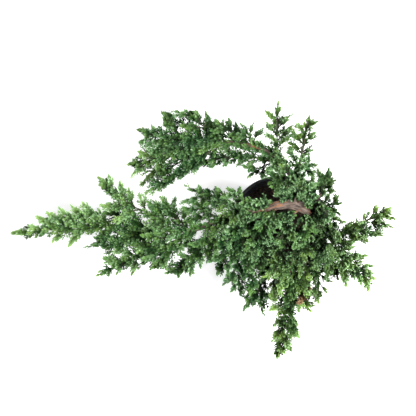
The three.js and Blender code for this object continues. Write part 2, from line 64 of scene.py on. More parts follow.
# The photograph looks straight down. It is 416 pixels square, and a pixel at the rim's height is 1.52 mm.
PHOTO_WIDTH = 416
PHOTO_MIDDLE = 208
RIM_SCALE = 1.52 * MM
RIM_HEIGHT = 115 * MM
EYE = np.array([-108.0, 26.0, 1500.0]) * MM

# Wood: each branch starts inside the one it grew from. Its radii at the root and at the end are in
# millimetres. Its points are pixels across and down the photograph, and a height in millimetres.
BRANCHES = {
    "trunk": (10.5, 5.6, [
        (291, 231, 48), (291, 230, 86), (299, 228, 114), (308, 222, 142), (310, 214, 168), (302, 208, 188),
        (290, 204, 202), (278, 205, 209), (266, 209, 211)]),
    "left": (5.4, 2, [
        (270, 207, 211), (252, 211, 210), (236, 213, 205), (220, 218, 199), (203, 227, 192), (180, 231, 184),
        (150, 229, 172)]),
    "left_low": (2.8, 1.9, [(199, 228, 190), (182, 238, 180), (168, 244, 172)]),
    "left_mid": (3, 2, [(224, 217, 200), (213, 231, 192), (204, 242, 182)]),
    "left_back": (3, 2, [(250, 211, 209), (238, 206, 214), (228, 202, 216)]),
    "hanging": (4.2, 2, [(268, 208, 211), (256, 215, 206), (246, 225, 193), (241, 236, 178)]),
    "upper": (5, 2, [
        (297, 206, 194), (295, 192, 204), (291, 176, 212), (281, 161, 217), (266, 151, 218), (248, 145, 216),
        (230, 142, 212), (208, 146, 205)]),
    "upper_low": (3, 2, [(279, 160, 217), (268, 160, 208), (256, 158, 202)]),
    "top_left": (2.8, 2, [(285, 166, 215), (280, 157, 222)]),
    "top_right": (3, 2, [(293, 182, 209), (299, 167, 219), (301, 158, 223)]),
    "back_right": (3.6, 2, [(310, 214, 168), (316, 203, 184), (321, 193, 193)]),
    "right_up": (3.8, 2, [(309, 218, 156), (323, 228, 170), (334, 233, 177)]),
    "right_low": (3.8, 2, [(305, 224, 132), (320, 238, 148), (330, 247, 152)]),
    "front": (4, 2, [(303, 226, 124), (297, 243, 152), (292, 258, 163), (289, 274, 158)]),
    "front_right": (3.2, 2, [(304, 225, 128), (312, 248, 134), (316, 262, 132)]),
    "front_left": (3.4, 2, [(297, 229, 108), (280, 241, 132), (270, 257, 137)]),
    "stub_top": (2.6, 0.9, [(293, 204, 200), (296, 195, 213)]),
    "stub_bend": (2.4, 0.9, [(300, 208, 190), (293, 215, 198)]),
    "stub_low": (2.4, 1, [(309, 218, 158), (316, 213, 171)]),
}

# How yellow a spray's leaves are, from 0, blue-green, to 1, fresh growth, and how much lighter or, below 0,
# darker than the rest. A lighter spray gets more bloom, which is partly painted highlight; a value below 0 is
# painted shade, strongest on the inner and back sprays.
TINTS = {
    "left_tip": (0.85, 0.9), "left_up": (0.7, 0.7), "left_low": (0.5, 0.4), "left_under": (0.4, 0.2),
    "left_over": (0.3, 0.05), "left_between": (0.3, 0.1), "left_low_side": (0.3, 0.15),
    "left_mid": (0.25, 0), "upper_tip": (0.75, 0.5), "upper_left": (0.3, 0.1),
    "upper_under": (0.25, 0.1), "top_left": (0.6, -0.1), "top_right": (0.65, -0.1),
    "top_inner": (0.3, -0.45), "back_inner": (0.3, -0.6), "back_right": (0.35, -0.5),
    "back_right_side": (0.35, -0.5), "centre_back": (0.2, -0.5), "right_up": (0.95, -0.2),
    "right_up_side": (0.6, -0.35), "right_low_side": (0.6, -0.3), "right_low": (1, 0.25),
    "front": (1, 0.3), "front_end": (0.95, 0), "front_side": (0.9, 0), "front_over": (0.75, -0.3),
    "front_right": (0.6, -0.3), "front_left": (0.2, 0), "hanging": (0.1, 0.15),
    "hanging_left": (0.1, 0.15), "hanging_top": (0.1, 0.1), "crown": (0.15, -0.05),
}
USUAL_TINT = (0.25, -0.1)
TWIG_TINTS = {"left_twigs": (0.25, 0.05), "right_twigs": (0.5, -0.25), "dead_twig": (0, 0.2)}

# Shoots: the points of each one's path, the leaves of a whorl, and how far behind the end of its stem a shoot
# is full-grown.
PATH_POINTS = 5
WHORL_LEAVES = 3
FULL_GROWTH = 24 * MM

# Fingers of a shoot: the share of its length where each starts, its side, and its length as a share of the
# shoot's.
FINGERS = ((0.16, 1, 0.52), (0.38, -1, 0.48), (0.62, 1, 0.36))
FINGER_WHORLS = 3

# How much of the waxy bloom, which is partly a painted highlight, a leaf's four faces carry: two above and
# two below.
BLOOM_AND_HIGHLIGHT_FACES = np.array([1.0, 1.0, 0.15, 0.15])

# Branches with short leafy shoots of their own: millimetres between the shoots, and where they start and end.
SHORT_SHOOTS = {
    "trunk": (1.7, 0.93, 1), "left": (1.5, 0, 1), "left_low": (2.4, 0, 1), "left_mid": (2.4, 0, 1),
    "left_back": (2.2, 0, 1), "hanging": (2.2, 0.1, 1), "upper": (1.5, 0.04, 1), "upper_low": (2.4, 0.1, 1),
    "top_left": (2.4, 0, 1), "top_right": (2.4, 0, 1), "back_right": (2.2, 0.1, 1), "right_up": (2.2, 0.2, 1),
    "right_low": (2.2, 0.2, 1), "front": (2.1, 0.1, 1), "front_right": (2.1, 0.1, 1),
    "front_left": (2.1, 0.1, 1),
}

# Thin leafy twigs between the sprays: the branch, the share of its length where the twig leaves it, and its
# points as pixels across and down the photograph with a height in millimetres.
FILLERS = [
    ("left", 1, [(130, 219, 172), (108, 213, 166)]),
    ("left", 0.97, [(130, 236, 166), (110, 239, 160), (91, 246, 156)]),
    ("left_low", 1, [(152, 246, 169), (136, 244, 166)]),
    ("left_low", 0.95, [(156, 253, 166), (145, 262, 162)]),
    ("left_mid", 1, [(196, 254, 178), (187, 267, 172)]),
    ("hanging", 1, [(238, 248, 174), (232, 261, 166)]),
    ("upper", 1, [(193, 131, 208), (180, 122, 207), (166, 114, 205)]),
    ("upper", 0.97, [(186, 147, 203), (166, 150, 199), (151, 150, 196)]),
    ("upper", 0.85, [(214, 131, 213), (208, 118, 213)]),
    ("upper", 0.7, [(240, 134, 217), (236, 125, 216)]),
    ("upper", 0.4, [(273, 166, 223), (268, 173, 223)]),
    ("top_right", 0.6, [(295, 160, 224), (292, 152, 226)]),
    ("top_right", 0.3, [(302, 176, 220), (306, 171, 220)]),
    ("left", 0.5, [(206, 218, 200), (190, 219, 197)]),
    ("left", 0.04, [(262, 203, 222), (252, 201, 226)]),
    ("left", 0.1, [(254, 206, 221), (243, 205, 224)]),
    ("left_mid", 0.8, [(199, 243, 186), (188, 243, 184)]),
    ("upper", 1, [(186, 142, 205), (164, 142, 202)]),
    ("upper", 0.98, [(184, 160, 196), (160, 174, 188)]),
    ("upper", 0.12, [(303, 190, 212), (311, 186, 214)]),
    ("upper", 0.2, [(284, 189, 216), (274, 187, 220)]),
    ("upper", 0.05, [(286, 198, 208), (276, 195, 214)]),
    ("upper", 0.3, [(298, 170, 218), (305, 164, 222)]),
    ("upper", 0.3, [(284, 172, 220), (276, 168, 222)]),
    ("back_right", 0.4, [(308, 199, 198), (303, 192, 206)]),
    ("hanging", 1, [(247, 256, 170), (253, 276, 152), (251, 290, 142)]),
    ("hanging", 0.1, [(266, 218, 212), (272, 228, 212)]),
    ("front", 0.35, [(293, 238, 172), (284, 245, 176)]),
    ("front", 0.5, [(301, 244, 174), (308, 252, 172)]),
    ("front", 0.95, [(281, 282, 156), (276, 292, 150)]),
    ("front", 0.8, [(298, 272, 164), (306, 280, 160)]),
    ("front_left", 0.35, [(281, 236, 154), (270, 240, 162)]),
    ("front_left", 0.6, [(278, 252, 150), (274, 264, 150)]),
    ("front_right", 0.5, [(302, 236, 152), (298, 248, 158)]),
    ("front_right", 0.9, [(308, 268, 142), (302, 280, 140)]),
    ("right_low", 0.6, [(322, 250, 156), (318, 262, 156)]),
    ("right_up", 1, [(342, 240, 178), (350, 242, 176)]),
    ("front", 0.15, [(304, 232, 158), (311, 240, 164)]),
    ("right_up", 0.3, [(312, 227, 170), (305, 232, 172)]),
    ("left", 0.16, [(245, 217, 216), (234, 220, 218)]),
    ("left", 0.28, [(233, 206, 216), (223, 207, 214)]),
    ("left", 0.34, [(226, 223, 208), (215, 227, 205)]),
    ("left_back", 0.5, [(236, 212, 222), (226, 213, 220)]),
    ("upper", 0.1, [(300, 194, 214), (300, 184, 218)]),
    ("upper", 0.22, [(289, 180, 224), (283, 172, 228)]),
    ("right_low", 0.4, [(322, 244, 160), (330, 256, 160)]),
    ("back_right", 0.8, [(324, 203, 196), (330, 210, 196)]),
    ("back_right", 1, [(320, 186, 198), (319, 179, 200)]),
    ("back_right", 0.97, [(326, 185, 193), (330, 174, 190)]),
    ("right_up", 0.7, [(333, 237, 179), (341, 241, 178)]),
    ("right_low", 1, [(342, 258, 151), (354, 271, 144), (365, 279, 138)]),
    ("front", 1, [(290, 298, 152), (290, 320, 144), (291, 336, 138)]),
    ("right_up", 0.1, [(317, 220, 178), (324, 226, 180)]),
    ("back_right", 0.3, [(317, 211, 186), (321, 220, 184)]),
    ("front_right", 0.95, [(319, 262, 142), (326, 270, 138)]),
    ("right_low", 0.8, [(327, 256, 154), (326, 267, 152)]),
    ("right_up", 0.85, [(334, 238, 180), (330, 245, 178)]),
]

# Twigs whose leaves have died and turned brown.
DEAD_TWIGS = [
    ("front_right", 1, [(311, 278, 120), (305, 291, 134), (299, 302, 163)]),
]

# Pot: the height of its floor, and the drain slots, which lie in a star and open through the foot.
POT_FLOOR = 2.4 * MM
DRAINS = 6
DRAIN_RADIUS = 5 * MM
DRAIN_FROM = 38 * MM
DRAIN_REACH = 30 * MM

# Crumbs of potting mix: height, width, place in the lattice and seed.
CRUMBS = ((1.6 * MM, 4 * MM, 64, 5), (0.9 * MM, 1.7 * MM, 90, 6))

# Studio: the lamp's place and aim in metres, and the camera's sensor in millimetres.
LAMP_PLACE = (0.85, -0.15, 1.6)
LAMP_AIM = (-0.1, 0, 0.15)
SENSOR_WIDTH = 36


class FoliageSettings(bpy.types.PropertyGroup):
    """Sizes and colours of the leafy shoots."""

    shoot_length: FloatProperty(
        name="Shoot Length", description="Length of a full-grown leafy shoot", default=21.5 * MM,
        unit="LENGTH")
    leaf_length: FloatProperty(
        name="Leaf Length", description="Length of an awl-shaped leaf", default=5.3 * MM, unit="LENGTH")
    leaf_width: FloatProperty(
        name="Leaf Width", description="Greatest width of a leaf", default=2.4 * MM, unit="LENGTH")
    bud_room: FloatProperty(
        name="Bud Room", description="Area of bare stem for each bud", default=38 * MM * MM, unit="AREA")
    whorls: IntProperty(
        name="Whorls", description="Whorls of three leaves on a shoot", default=5, min=3)
    seed: IntProperty(name="Seed", description="Start of the leaves' random draws", default=7)
    old_colour: FloatVectorProperty(
        name="Old Leaves", description="Blue-green of the older leaves", default=(0.012, 0.088, 0.014),
        subtype="COLOR", size=3)
    young_colour: FloatVectorProperty(
        name="Young Leaves", description="Yellow-green of the fresh leaves", default=(0.23, 0.36, 0.055),
        subtype="COLOR", size=3)
    glaucous_colour: FloatVectorProperty(
        name="Glaucous Leaves", description="Greyer blue-green of scattered patches",
        default=(0.008, 0.072, 0.032), subtype="COLOR", size=3)
    # The bloom colour is partly the leaves' real waxy bloom and partly a painted highlight.
    bloom_and_highlight_colour: FloatVectorProperty(
        name="Bloom", description="Waxy bloom on a leaf's upper face", default=(0.46, 0.71, 0.39),
        subtype="COLOR", size=3)
    dead_colour: FloatVectorProperty(
        name="Dead Leaves", description="Brown of the dead leaves", default=(0.14, 0.075, 0.032),
        subtype="COLOR", size=3)
    # The dead leaves' bloom colour is a paler brown that is partly a painted highlight.
    dead_bloom_and_highlight_colour: FloatVectorProperty(
        name="Dead Bloom", description="Paler brown on a dead leaf's upper face",
        default=(0.42, 0.30, 0.17), subtype="COLOR", size=3)


class BarkSettings(bpy.types.PropertyGroup):
    """Relief and colours of the bark."""

    relief: FloatProperty(
        name="Relief", description="Depth of the bark's fissures on the trunk", default=1.6 * MM,
        unit="LENGTH")
    outer_colour: FloatVectorProperty(
        name="Outer Bark", description="Weathered grey-brown flakes", default=(0.013, 0.008, 0.006),
        subtype="COLOR", size=3)
    inner_colour: FloatVectorProperty(
        name="Inner Bark", description="Orange-brown strips under the flakes", default=(0.06, 0.025, 0.011),
        subtype="COLOR", size=3)


class PotSettings(bpy.types.PropertyGroup):
    """Sizes of the nursery pot and its fill."""

    height: FloatProperty(name="Height", description="Height of the pot", default=115 * MM, unit="LENGTH")
    rim_radius: FloatProperty(
        name="Rim Radius", description="Radius of the lip", default=75 * MM, unit="LENGTH")
    foot_radius: FloatProperty(
        name="Foot Radius", description="Radius of the foot", default=54 * MM, unit="LENGTH")
    wall: FloatProperty(name="Wall", description="Thickness of the wall", default=1.8 * MM, unit="LENGTH")
    lip_width: FloatProperty(
        name="Lip Width", description="Width of the lip", default=5 * MM, unit="LENGTH")
    lip_height: FloatProperty(
        name="Lip Height", description="Height of the lip", default=12 * MM, unit="LENGTH")
    fill_height: FloatProperty(
        name="Fill Height", description="Height of the potting mix at the wall", default=80 * MM,
        unit="LENGTH")
    chips: IntProperty(name="Chips", description="Pieces of bark lying on the potting mix", default=1100)
    seed: IntProperty(name="Seed", description="Start of the chips' random draws", default=23)
    colour: FloatVectorProperty(
        name="Plastic", description="Black of the plastic", default=(0.016, 0.018, 0.020),
        subtype="COLOR", size=3)


class StudioSettings(bpy.types.PropertyGroup):
    """How bright the floor, the sky and the lamp are."""

    floor_grey: FloatProperty(
        name="Floor Grey", description="Share of the light that the floor throws back", default=0.7,
        subtype="FACTOR")
    floor_glow: FloatProperty(
        name="Floor Glow", description="Light that the floor gives, so that shadows stay pale", default=0.62)
    sky_strength: FloatProperty(name="Sky Strength", description="Light from all round", default=0.03)
    lamp_size: FloatProperty(
        name="Lamp Size", description="Side of the square lamp", default=0.8, unit="LENGTH")
    lamp_power: FloatProperty(
        name="Lamp Power", description="Power of the lamp", default=125, unit="POWER")


# Arrays and meshes


def unit(vectors):
    """Vectors of length one along the last axis."""
    least_length = 1e-12
    return vectors / np.maximum(np.linalg.norm(vectors, axis=-1, keepdims=True), least_length)


def square_to(vectors, way):
    """What stands square to a way: each vector less its share along the way, at length one."""
    return unit(vectors - (vectors * way).sum(axis=-1, keepdims=True) * way)


def circles(angle, first, second):
    """Circles of radius one: the cosine of the angle times one direction, plus its sine times the other."""
    return np.cos(angle)[..., None] * first[..., None, :] + np.sin(angle)[..., None] * second[..., None, :]


def new_piece(name, points, faces, materials, smooth=True):
    """A mesh object of points (n, 3) and triangles or quads (m, 3 or 4)."""
    mesh = bpy.data.meshes.new(name)
    mesh.vertices.add(len(points))
    mesh.vertices.foreach_set("co", np.ascontiguousarray(points, np.float32).ravel())
    mesh.loops.add(faces.size)
    mesh.loops.foreach_set("vertex_index", np.ascontiguousarray(faces, np.int32).ravel())
    mesh.polygons.add(len(faces))
    mesh.polygons.foreach_set("loop_start", np.arange(0, faces.size, faces.shape[1], dtype=np.int32))
    mesh.polygons.foreach_set("use_smooth", np.full(len(faces), smooth))
    mesh.update(calc_edges=True)
    mesh.validate()
    for material in materials:
        mesh.materials.append(material)
    piece = bpy.data.objects.new(name, mesh)
    bpy.context.scene.collection.objects.link(piece)
    return piece


def joined(parts):
    """Several meshes as one. Each part starts with its points and its triangles."""
    starts = np.cumsum([0] + [len(points) for points, *_ in parts])
    points = np.concatenate([part[0] for part in parts])
    triangles = np.concatenate([part[1] + start for part, start in zip(parts, starts)])
    return points, triangles


def set_attribute(piece, name, domain, values):
    """A number for each point or face, for the materials to read."""
    made = piece.data.attributes.new(name, "FLOAT", domain)
    made.data.foreach_set("value", np.ascontiguousarray(values, np.float32).ravel())


def grid_faces(rows, columns):
    """Quads of a grid whose points run along each row in turn; each row closes on itself."""
    row = np.arange(rows - 1)[:, None]
    column = np.arange(columns)[None, :]
    following = (column + 1) % columns
    corners = [row * columns + column, row * columns + following,
               (row + 1) * columns + following, (row + 1) * columns + column]
    return np.stack(np.broadcast_arrays(*corners), axis=-1).reshape(-1, 4)


def closed_tube_faces(rings, around):
    """Triangles of rings of points. A fan round each of the two points after the rings closes an end."""
    sides = grid_faces(rings, around)
    last = rings * around
    k = np.arange(around)
    following = (k + 1) % around
    start = np.stack([np.full(around, last), following, k], axis=1)
    end = np.stack([np.full(around, last + 1), last - around + k, last - around + following], axis=1)
    return np.concatenate([sides[:, [0, 1, 2]], sides[:, [0, 2, 3]], start, end])


def lattice_noise(u, v, cells, seed):
    """Smooth noise from 0 to 1: random numbers on a lattice, eased between, repeating every `cells` in u."""
    table = np.random.default_rng(seed).random((LATTICE, LATTICE))
    u0 = np.floor(u).astype(int)
    v0 = np.floor(v).astype(int)
    fu = u - u0
    fv = v - v0
    fu = fu * fu * (3 - 2 * fu)
    fv = fv * fv * (3 - 2 * fv)
    next_u = (u0 + 1) % cells
    next_v = (v0 + 1) % LATTICE
    low = table[u0 % cells, v0 % LATTICE] * (1 - fu) + table[next_u, v0 % LATTICE] * fu
    high = table[u0 % cells, next_v] * (1 - fu) + table[next_u, next_v] * fu
    return low * (1 - fv) + high * fv


# Materials


def new_material(name, roughness, specular):
    """A material of one shader, and that shader."""
    material = bpy.data.materials.new(name)
    material.use_nodes = True
    shader = material.node_tree.nodes["Principled BSDF"]
    shader.inputs["Roughness"].default_value = roughness
    shader.inputs["Specular IOR Level"].default_value = specular
    return material, shader


def node(material, kind, inputs=(), **settings):
    """A new node: settings are its properties, inputs are (socket, value or output) pairs."""
    made = material.node_tree.nodes.new(kind)
    for key, value in settings.items():
        setattr(made, key, value)
    for socket, value in inputs:
        if isinstance(value, bpy.types.NodeSocket):
            material.node_tree.links.new(value, made.inputs[socket])
        else:
            made.inputs[socket].default_value = value
    return made


def mix_colours(material, factor, first, second):
    """One colour over another; each is an output or a red, green and blue."""
    def full(colour):
        """An output as it is, and a colour with its alpha."""
        return colour if isinstance(colour, bpy.types.NodeSocket) else (*colour, 1.0)
    sockets = [(MIX_FACTOR, factor), (MIX_FIRST, full(first)), (MIX_SECOND, full(second))]
    return node(material, "ShaderNodeMix", sockets, data_type="RGBA").outputs[MIX_COLOUR]


def ramp(material, value, low, high):
    """A number eased from 0 to 1 between low and high."""
    sockets = [(RANGE_VALUE, value), (RANGE_FROM_LOW, low), (RANGE_FROM_HIGH, high)]
    return node(material, "ShaderNodeMapRange", sockets, interpolation_type="SMOOTHSTEP").outputs[0]


def arithmetic(material, operation, first, second):
    """Two numbers added or multiplied; each is an output or a number."""
    return node(material, "ShaderNodeMath", [(0, first), (1, second)], operation=operation).outputs[0]


def attribute(material, name):
    """A number that the piece carries for each point or face."""
    return node(material, "ShaderNodeAttribute", attribute_name=name).outputs["Fac"]


def object_point(material):
    """Object coordinates, so that a pattern keeps its place on the piece."""
    return node(material, "ShaderNodeTexCoord").outputs["Object"]


def noise(material, point, scale, detail=3.0, roughness=0.55):
    """Cloudy noise around a half, finer with a larger scale."""
    sockets = [("Vector", point), ("Scale", scale), ("Detail", detail), ("Roughness", roughness)]
    return node(material, "ShaderNodeTexNoise", sockets).outputs["Fac"]


def bump(material, shader, height, strength, distance):
    """Fine relief from a number, `distance` metres high."""
    sockets = [("Height", height), ("Strength", strength), ("Distance", distance)]
    relief = node(material, "ShaderNodeBump", sockets).outputs[0]
    material.node_tree.links.new(relief, shader.inputs["Normal"])


def leaf_material(name, old, young, patch, bloom_and_highlight):
    """Old to young leaves, mixed almost to black where the fresh number is low, partly for older leaves and
    partly as painted shade, with patches of a third colour and a bloom that is partly a painted highlight.
    """
    deep_shade = (0.002, 0.008, 0.001)
    shade_share, patch_share = 0.93, 0.55
    material, shader = new_material(name, roughness=0.55, specular=0.06)
    green = mix_colours(material, attribute(material, "young"), old, young)
    patches = ramp(material, noise(material, object_point(material), scale=45.0), low=0.35, high=0.7)
    patches = arithmetic(material, "MULTIPLY", patches, patch_share)
    green = mix_colours(material, patches, green, patch)
    # Painted shade, in part: a leaf with a low fresh number is mixed towards this near-black.
    inner = mix_colours(material, shade_share, green, deep_shade)
    green = mix_colours(material, attribute(material, "fresh"), inner, green)
    # Bloom: real waxy bloom on the leaves, which also serves as a painted highlight.
    waxy = mix_colours(material, attribute(material, "bloom_and_highlight"), green, bloom_and_highlight)
    material.node_tree.links.new(waxy, shader.inputs["Base Color"])
    return material


def twig_material():
    """Thin green bark that turns brown in patches. Both colours are kept near black, partly as painted shade
    for twigs that lie inside the foliage.
    """
    green, brown = (0.006, 0.022, 0.004), (0.018, 0.014, 0.005)
    material, shader = new_material("juniper_twig", roughness=0.7, specular=0.3)
    patches = ramp(material, noise(material, object_point(material), scale=160.0), low=0.35, high=0.65)
    colour = mix_colours(material, patches, green, brown)
    material.node_tree.links.new(colour, shader.inputs["Base Color"])
    return material


def bark_material(settings):
    """Grey-brown flakes over orange-brown strips: the relief picks the layer, stretched noise tears it. The
    deepest fissures are darkened, partly as dark bark and partly as painted shade.
    """
    pale_outer, pale_inner, crack_and_shade_colour = (0.13, 0.096, 0.076), (0.22, 0.10, 0.045), (0.035, 0.022, 0.016)
    fibre_stretch = (900, 60, 1)
    material, shader = new_material("juniper_bark", roughness=0.82, specular=0.25)
    layer = attribute(material, "layer")
    point = node(material, "ShaderNodeUVMap", uv_map="bark").outputs[0]
    stretched = node(material, "ShaderNodeMapping", [("Vector", point), ("Scale", fibre_stretch)]).outputs[0]
    fibres = noise(material, stretched, scale=1.0, detail=4.0, roughness=0.6)
    torn = arithmetic(material, "ADD", layer, fibres)
    weathered = ramp(material, fibres, low=0.4, high=0.68)
    outer = mix_colours(material, weathered, settings.outer_colour, pale_outer)
    streaked = ramp(material, fibres, low=0.25, high=0.75)
    inner = mix_colours(material, streaked, settings.inner_colour, pale_inner)
    colour = mix_colours(material, ramp(material, torn, low=0.78, high=0.98), inner, outer)
    # Painted shade, in part: the lowest bark layer, deep in the fissures, is darkened to the crack colour.
    colour = mix_colours(material, ramp(material, layer, low=0.02, high=0.28), crack_and_shade_colour, colour)
    material.node_tree.links.new(colour, shader.inputs["Base Color"])
    bump(material, shader, fibres, strength=0.6, distance=0.6 * MM)
    return material


def plastic_material(settings):
    """Black moulded plastic, a little dusty and scuffed, with a fine grain."""
    dust_colour, dust_share = (0.085, 0.082, 0.075), 0.12
    smooth, scuffed = 0.34, 0.6
    material, shader = new_material("pot_plastic", roughness=0.42, specular=0.26)
    point = object_point(material)
    dust = ramp(material, noise(material, point, scale=35.0, detail=5.0), low=0.42, high=0.75)
    dust = arithmetic(material, "MULTIPLY", dust, dust_share)
    colour = mix_colours(material, dust, settings.colour, dust_colour)
    material.node_tree.links.new(colour, shader.inputs["Base Color"])
    scuffs = ramp(material, noise(material, point, scale=220.0, detail=4.0), low=0.3, high=0.8)
    sockets = [(RANGE_VALUE, scuffs), (RANGE_TO_LOW, smooth), (RANGE_TO_HIGH, scuffed)]
    rough = node(material, "ShaderNodeMapRange", sockets).outputs[0]
    material.node_tree.links.new(rough, shader.inputs["Roughness"])
    bump(material, shader, noise(material, point, scale=900.0, detail=2.0), strength=0.12, distance=0.3 * MM)
    return material


def mix_material():
    """Dark peat with bark: each chip has a brown of its own. Peat and chips are darkened to near black,
    partly as painted shade for the deep pot.
    """
    dark_peat_and_shade, pale_peat_and_shade, chip_and_shade_colour = (0.004, 0.003, 0.002), (0.016, 0.011, 0.008), (0.045, 0.028, 0.017)
    material, shader = new_material("potting_mix", roughness=0.92, specular=0.2)
    grain = noise(material, object_point(material), scale=700.0, detail=5.0, roughness=0.7)
    # Painted shade, in part: these peat and chip colours are kept near black to stand for the pot's deep
    # shadow.
    peat = mix_colours(material, ramp(material, grain, low=0.3, high=0.7), dark_peat_and_shade, pale_peat_and_shade)
    colour = mix_colours(material, attribute(material, "shade"), peat, chip_and_shade_colour)
    material.node_tree.links.new(colour, shader.inputs["Base Color"])
    bump(material, shader, grain, strength=0.8, distance=1.2 * MM)
    return material


# Leafy sprays


def solid_of(name):
    """A CAD node's points, merged to the nearest micrometre, and its triangles."""
    metre_digits = 6
    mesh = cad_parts[name].data
    points = np.empty(len(mesh.vertices) * 3, np.float32)
    mesh.vertices.foreach_get("co", points)
    corners = np.empty(len(mesh.loops), np.int32)
    mesh.loops.foreach_get("vertex_index", corners)
    rounded = np.round(points.reshape(-1, 3).astype(float), metre_digits)
    points, merged = np.unique(rounded, axis=0, return_inverse=True)
    triangles = merged.ravel()[corners].reshape(-1, 3)
    apart = (triangles != np.roll(triangles, 1, axis=1)).all(axis=1)
    return points, triangles[apart]


def leaf_sites(points, triangles):
    """Where a spray's modelled leaves stand, and the slim stem that is left without them.

    A leaf's tip is a point that three triangles share. Its foot is the middle of the facet that it was raised
    from. The facet's normal points out of the stem, and what is left of the leaf's lean points on along it.
    """
    faces_at_tip = 3
    shortest, longest = 4.5 * MM, 9 * MM
    uses = np.bincount(triangles.ravel(), minlength=len(points))
    at_tip = uses[triangles] == faces_at_tip
    row, corner = np.nonzero(at_tip & (at_tip.sum(axis=1, keepdims=True) == 1))
    tip = triangles[row, corner]
    start = triangles[row, (corner + 1) % 3]
    end = triangles[row, (corner + 2) % 3]
    order = np.argsort(tip, kind="stable")
    tip, start, end, row = tip[order], start[order], end[order], row[order]
    whole = np.bincount(tip, minlength=len(points))[tip] == faces_at_tip
    tip, start, end, row = (part[whole].reshape(-1, faces_at_tip) for part in (tip, start, end, row))
    facets = np.stack([start[:, 0], end[:, 0], start.sum(axis=1) - start[:, 0] - end[:, 0]], axis=1)
    foot = points[facets].mean(axis=1)
    lean = points[tip[:, 0]] - foot
    length = np.linalg.norm(lean, axis=1)
    leafy = (length > shortest) & (length < longest)
    facets, foot, lean, row = facets[leafy], foot[leafy], unit(lean[leafy]), row[leafy]
    corners = points[facets]
    out = unit(np.cross(corners[:, 1] - corners[:, 0], corners[:, 2] - corners[:, 0]))
    onward = square_to(lean, out)
    kept = np.ones(len(triangles), bool)
    kept[row.ravel()] = False
    stem = np.concatenate([triangles[kept], facets])
    return foot, out, onward, stem


def reach_ahead(foot, onward):
    """How far the buds on the same stem go on in front of each bud."""
    same_stem = 6 * MM
    apart = foot[None] - foot[:, None]
    ahead = (apart * onward[:, None]).sum(axis=2)
    off = np.linalg.norm(apart - ahead[..., None] * onward[:, None], axis=2)
    return np.where(off < same_stem, ahead, 0).max(axis=1)


def room_to_grow(foot, out, onward, crowd):
    """How long each shoot may grow, as a share of its usual length.

    It is longest where the shoot reaches over a gap to other foliage, and shortest at the plant's outline. A
    spot with n buds near it is crowded by 1 - exp(-n / 4).
    """
    near, enough = 8 * MM, 4
    in_gap, past_gap = 13 * MM, 26 * MM
    usual, longer, shorter = 0.85, 0.6, 0.15
    outward = 0.8
    way = unit((onward + outward * out)[:, :2])

    def crowded(spots):
        """How crowded each spot is, from 0 to 1."""
        apart = np.linalg.norm(spots[:, None] - crowd[None, :, :2], axis=2)
        return 1 - np.exp(-(apart < near).sum(axis=1) / enough)
    gap = 1 - crowded(foot[:, :2] + in_gap * way)
    beyond = crowded(foot[:, :2] + past_gap * way)
    return usual + longer * gap * beyond - shorter * gap * (1 - beyond)


def cover_above(foot, crowd):
    """How deep each shoot lies under others, which sets the painted shade of covered shoots: 1 - exp(-n / 3)
    with n buds close above it.
    """
    near, clear, enough = 8 * MM, 5 * MM, 3
    apart = np.linalg.norm(foot[:, None, :2] - crowd[None, :, :2], axis=2)
    higher = crowd[None, :, 2] - foot[:, None, 2] > clear
    return 1 - np.exp(-((apart < near) & higher).sum(axis=1) / enough)


def stem_buds(points, stem, leaf_feet, leaf_ways, settings, rng):
    """Buds on the bare stems, scattered over the stem's facets by area.

    Each points on along its facet's longest edge. The nearest modelled leaf tells which of the edge's two
    ways is on along the stem, and draws the bud a little towards its own way.
    """
    draw = 0.3
    corners = points[stem]
    edges = np.roll(corners, -1, axis=1) - corners
    normal = np.cross(edges[:, 0], edges[:, 1])
    area = 0.5 * np.linalg.norm(normal, axis=1)
    count = (area / settings.bud_room + rng.random(len(area))).astype(int)
    facet = np.repeat(np.arange(len(stem)), count)
    share = rng.random((2, len(facet), 1))
    share = np.where(share.sum(axis=0) > 1, 1 - share, share)
    foot = corners[facet, 0] + share[0] * edges[facet, 0] - share[1] * edges[facet, 2]
    longest = np.linalg.norm(edges, axis=2).argmax(axis=1)
    along_stem = unit(edges[np.arange(len(stem)), longest])[facet]
    nearest = np.linalg.norm(foot[:, None] - leaf_feet[None], axis=2).argmin(axis=1)
    backward = (along_stem * leaf_ways[nearest]).sum(axis=1, keepdims=True) < 0
    along_stem = along_stem * np.where(backward, -1, 1)
    return foot, unit(normal)[facet], unit(along_stem + draw * leaf_ways[nearest])


def shoot_paths(foot, out, onward, growth, length, rng):
    """Points along side shoots, and the way on at each. A shoot leans out of its stem and bends on and up.

    Shoots far behind the end of their stem rise more, so that they hide it and show their tips from above.
    """
    sunk = 0.9 * MM
    lean_least, lean_sideways, lean_growth, curl = 0.16, 0.22, 0.40, 0.2
    lift_least, lift_tip, lift_growth = 0.04, 0.10, 0.5
    sway = 0.15
    flattened = np.array([1.0, 1.0, 0.55])
    share = np.linspace(0, 1, PATH_POINTS)[None, :, None]
    sideways = np.linalg.norm(out[:, :2], axis=1)[:, None, None]
    grown = growth[:, None, None]
    turn = rng.uniform(-sway, sway, (len(foot), 1, 1))
    lean = lean_least + (lean_sideways + lean_growth * grown) * sideways + turn - curl * share
    lift = lift_least + (lift_tip + lift_growth * grown) * share
    flat = unit(out * flattened)
    way = unit(np.cos(lean) * onward[:, None] + np.sin(lean) * flat[:, None] + lift * UP)
    moves = way[:, :-1] * (length[:, None, None] / (PATH_POINTS - 1))
    start = foot - sunk * out
    points = np.concatenate([start[:, None], start[:, None] + np.cumsum(moves, axis=1)], axis=1)
    return points, way


def along(values, share):
    """Values at the points of each shoot, read evenly between them at one or more shares of its length."""
    spot = np.asarray(share) * (values.shape[1] - 1)
    low = np.minimum(spot.astype(int), values.shape[1] - 2)
    part = (spot - low)[..., None]
    return values[:, low] * (1 - part) + values[:, low + 1] * part


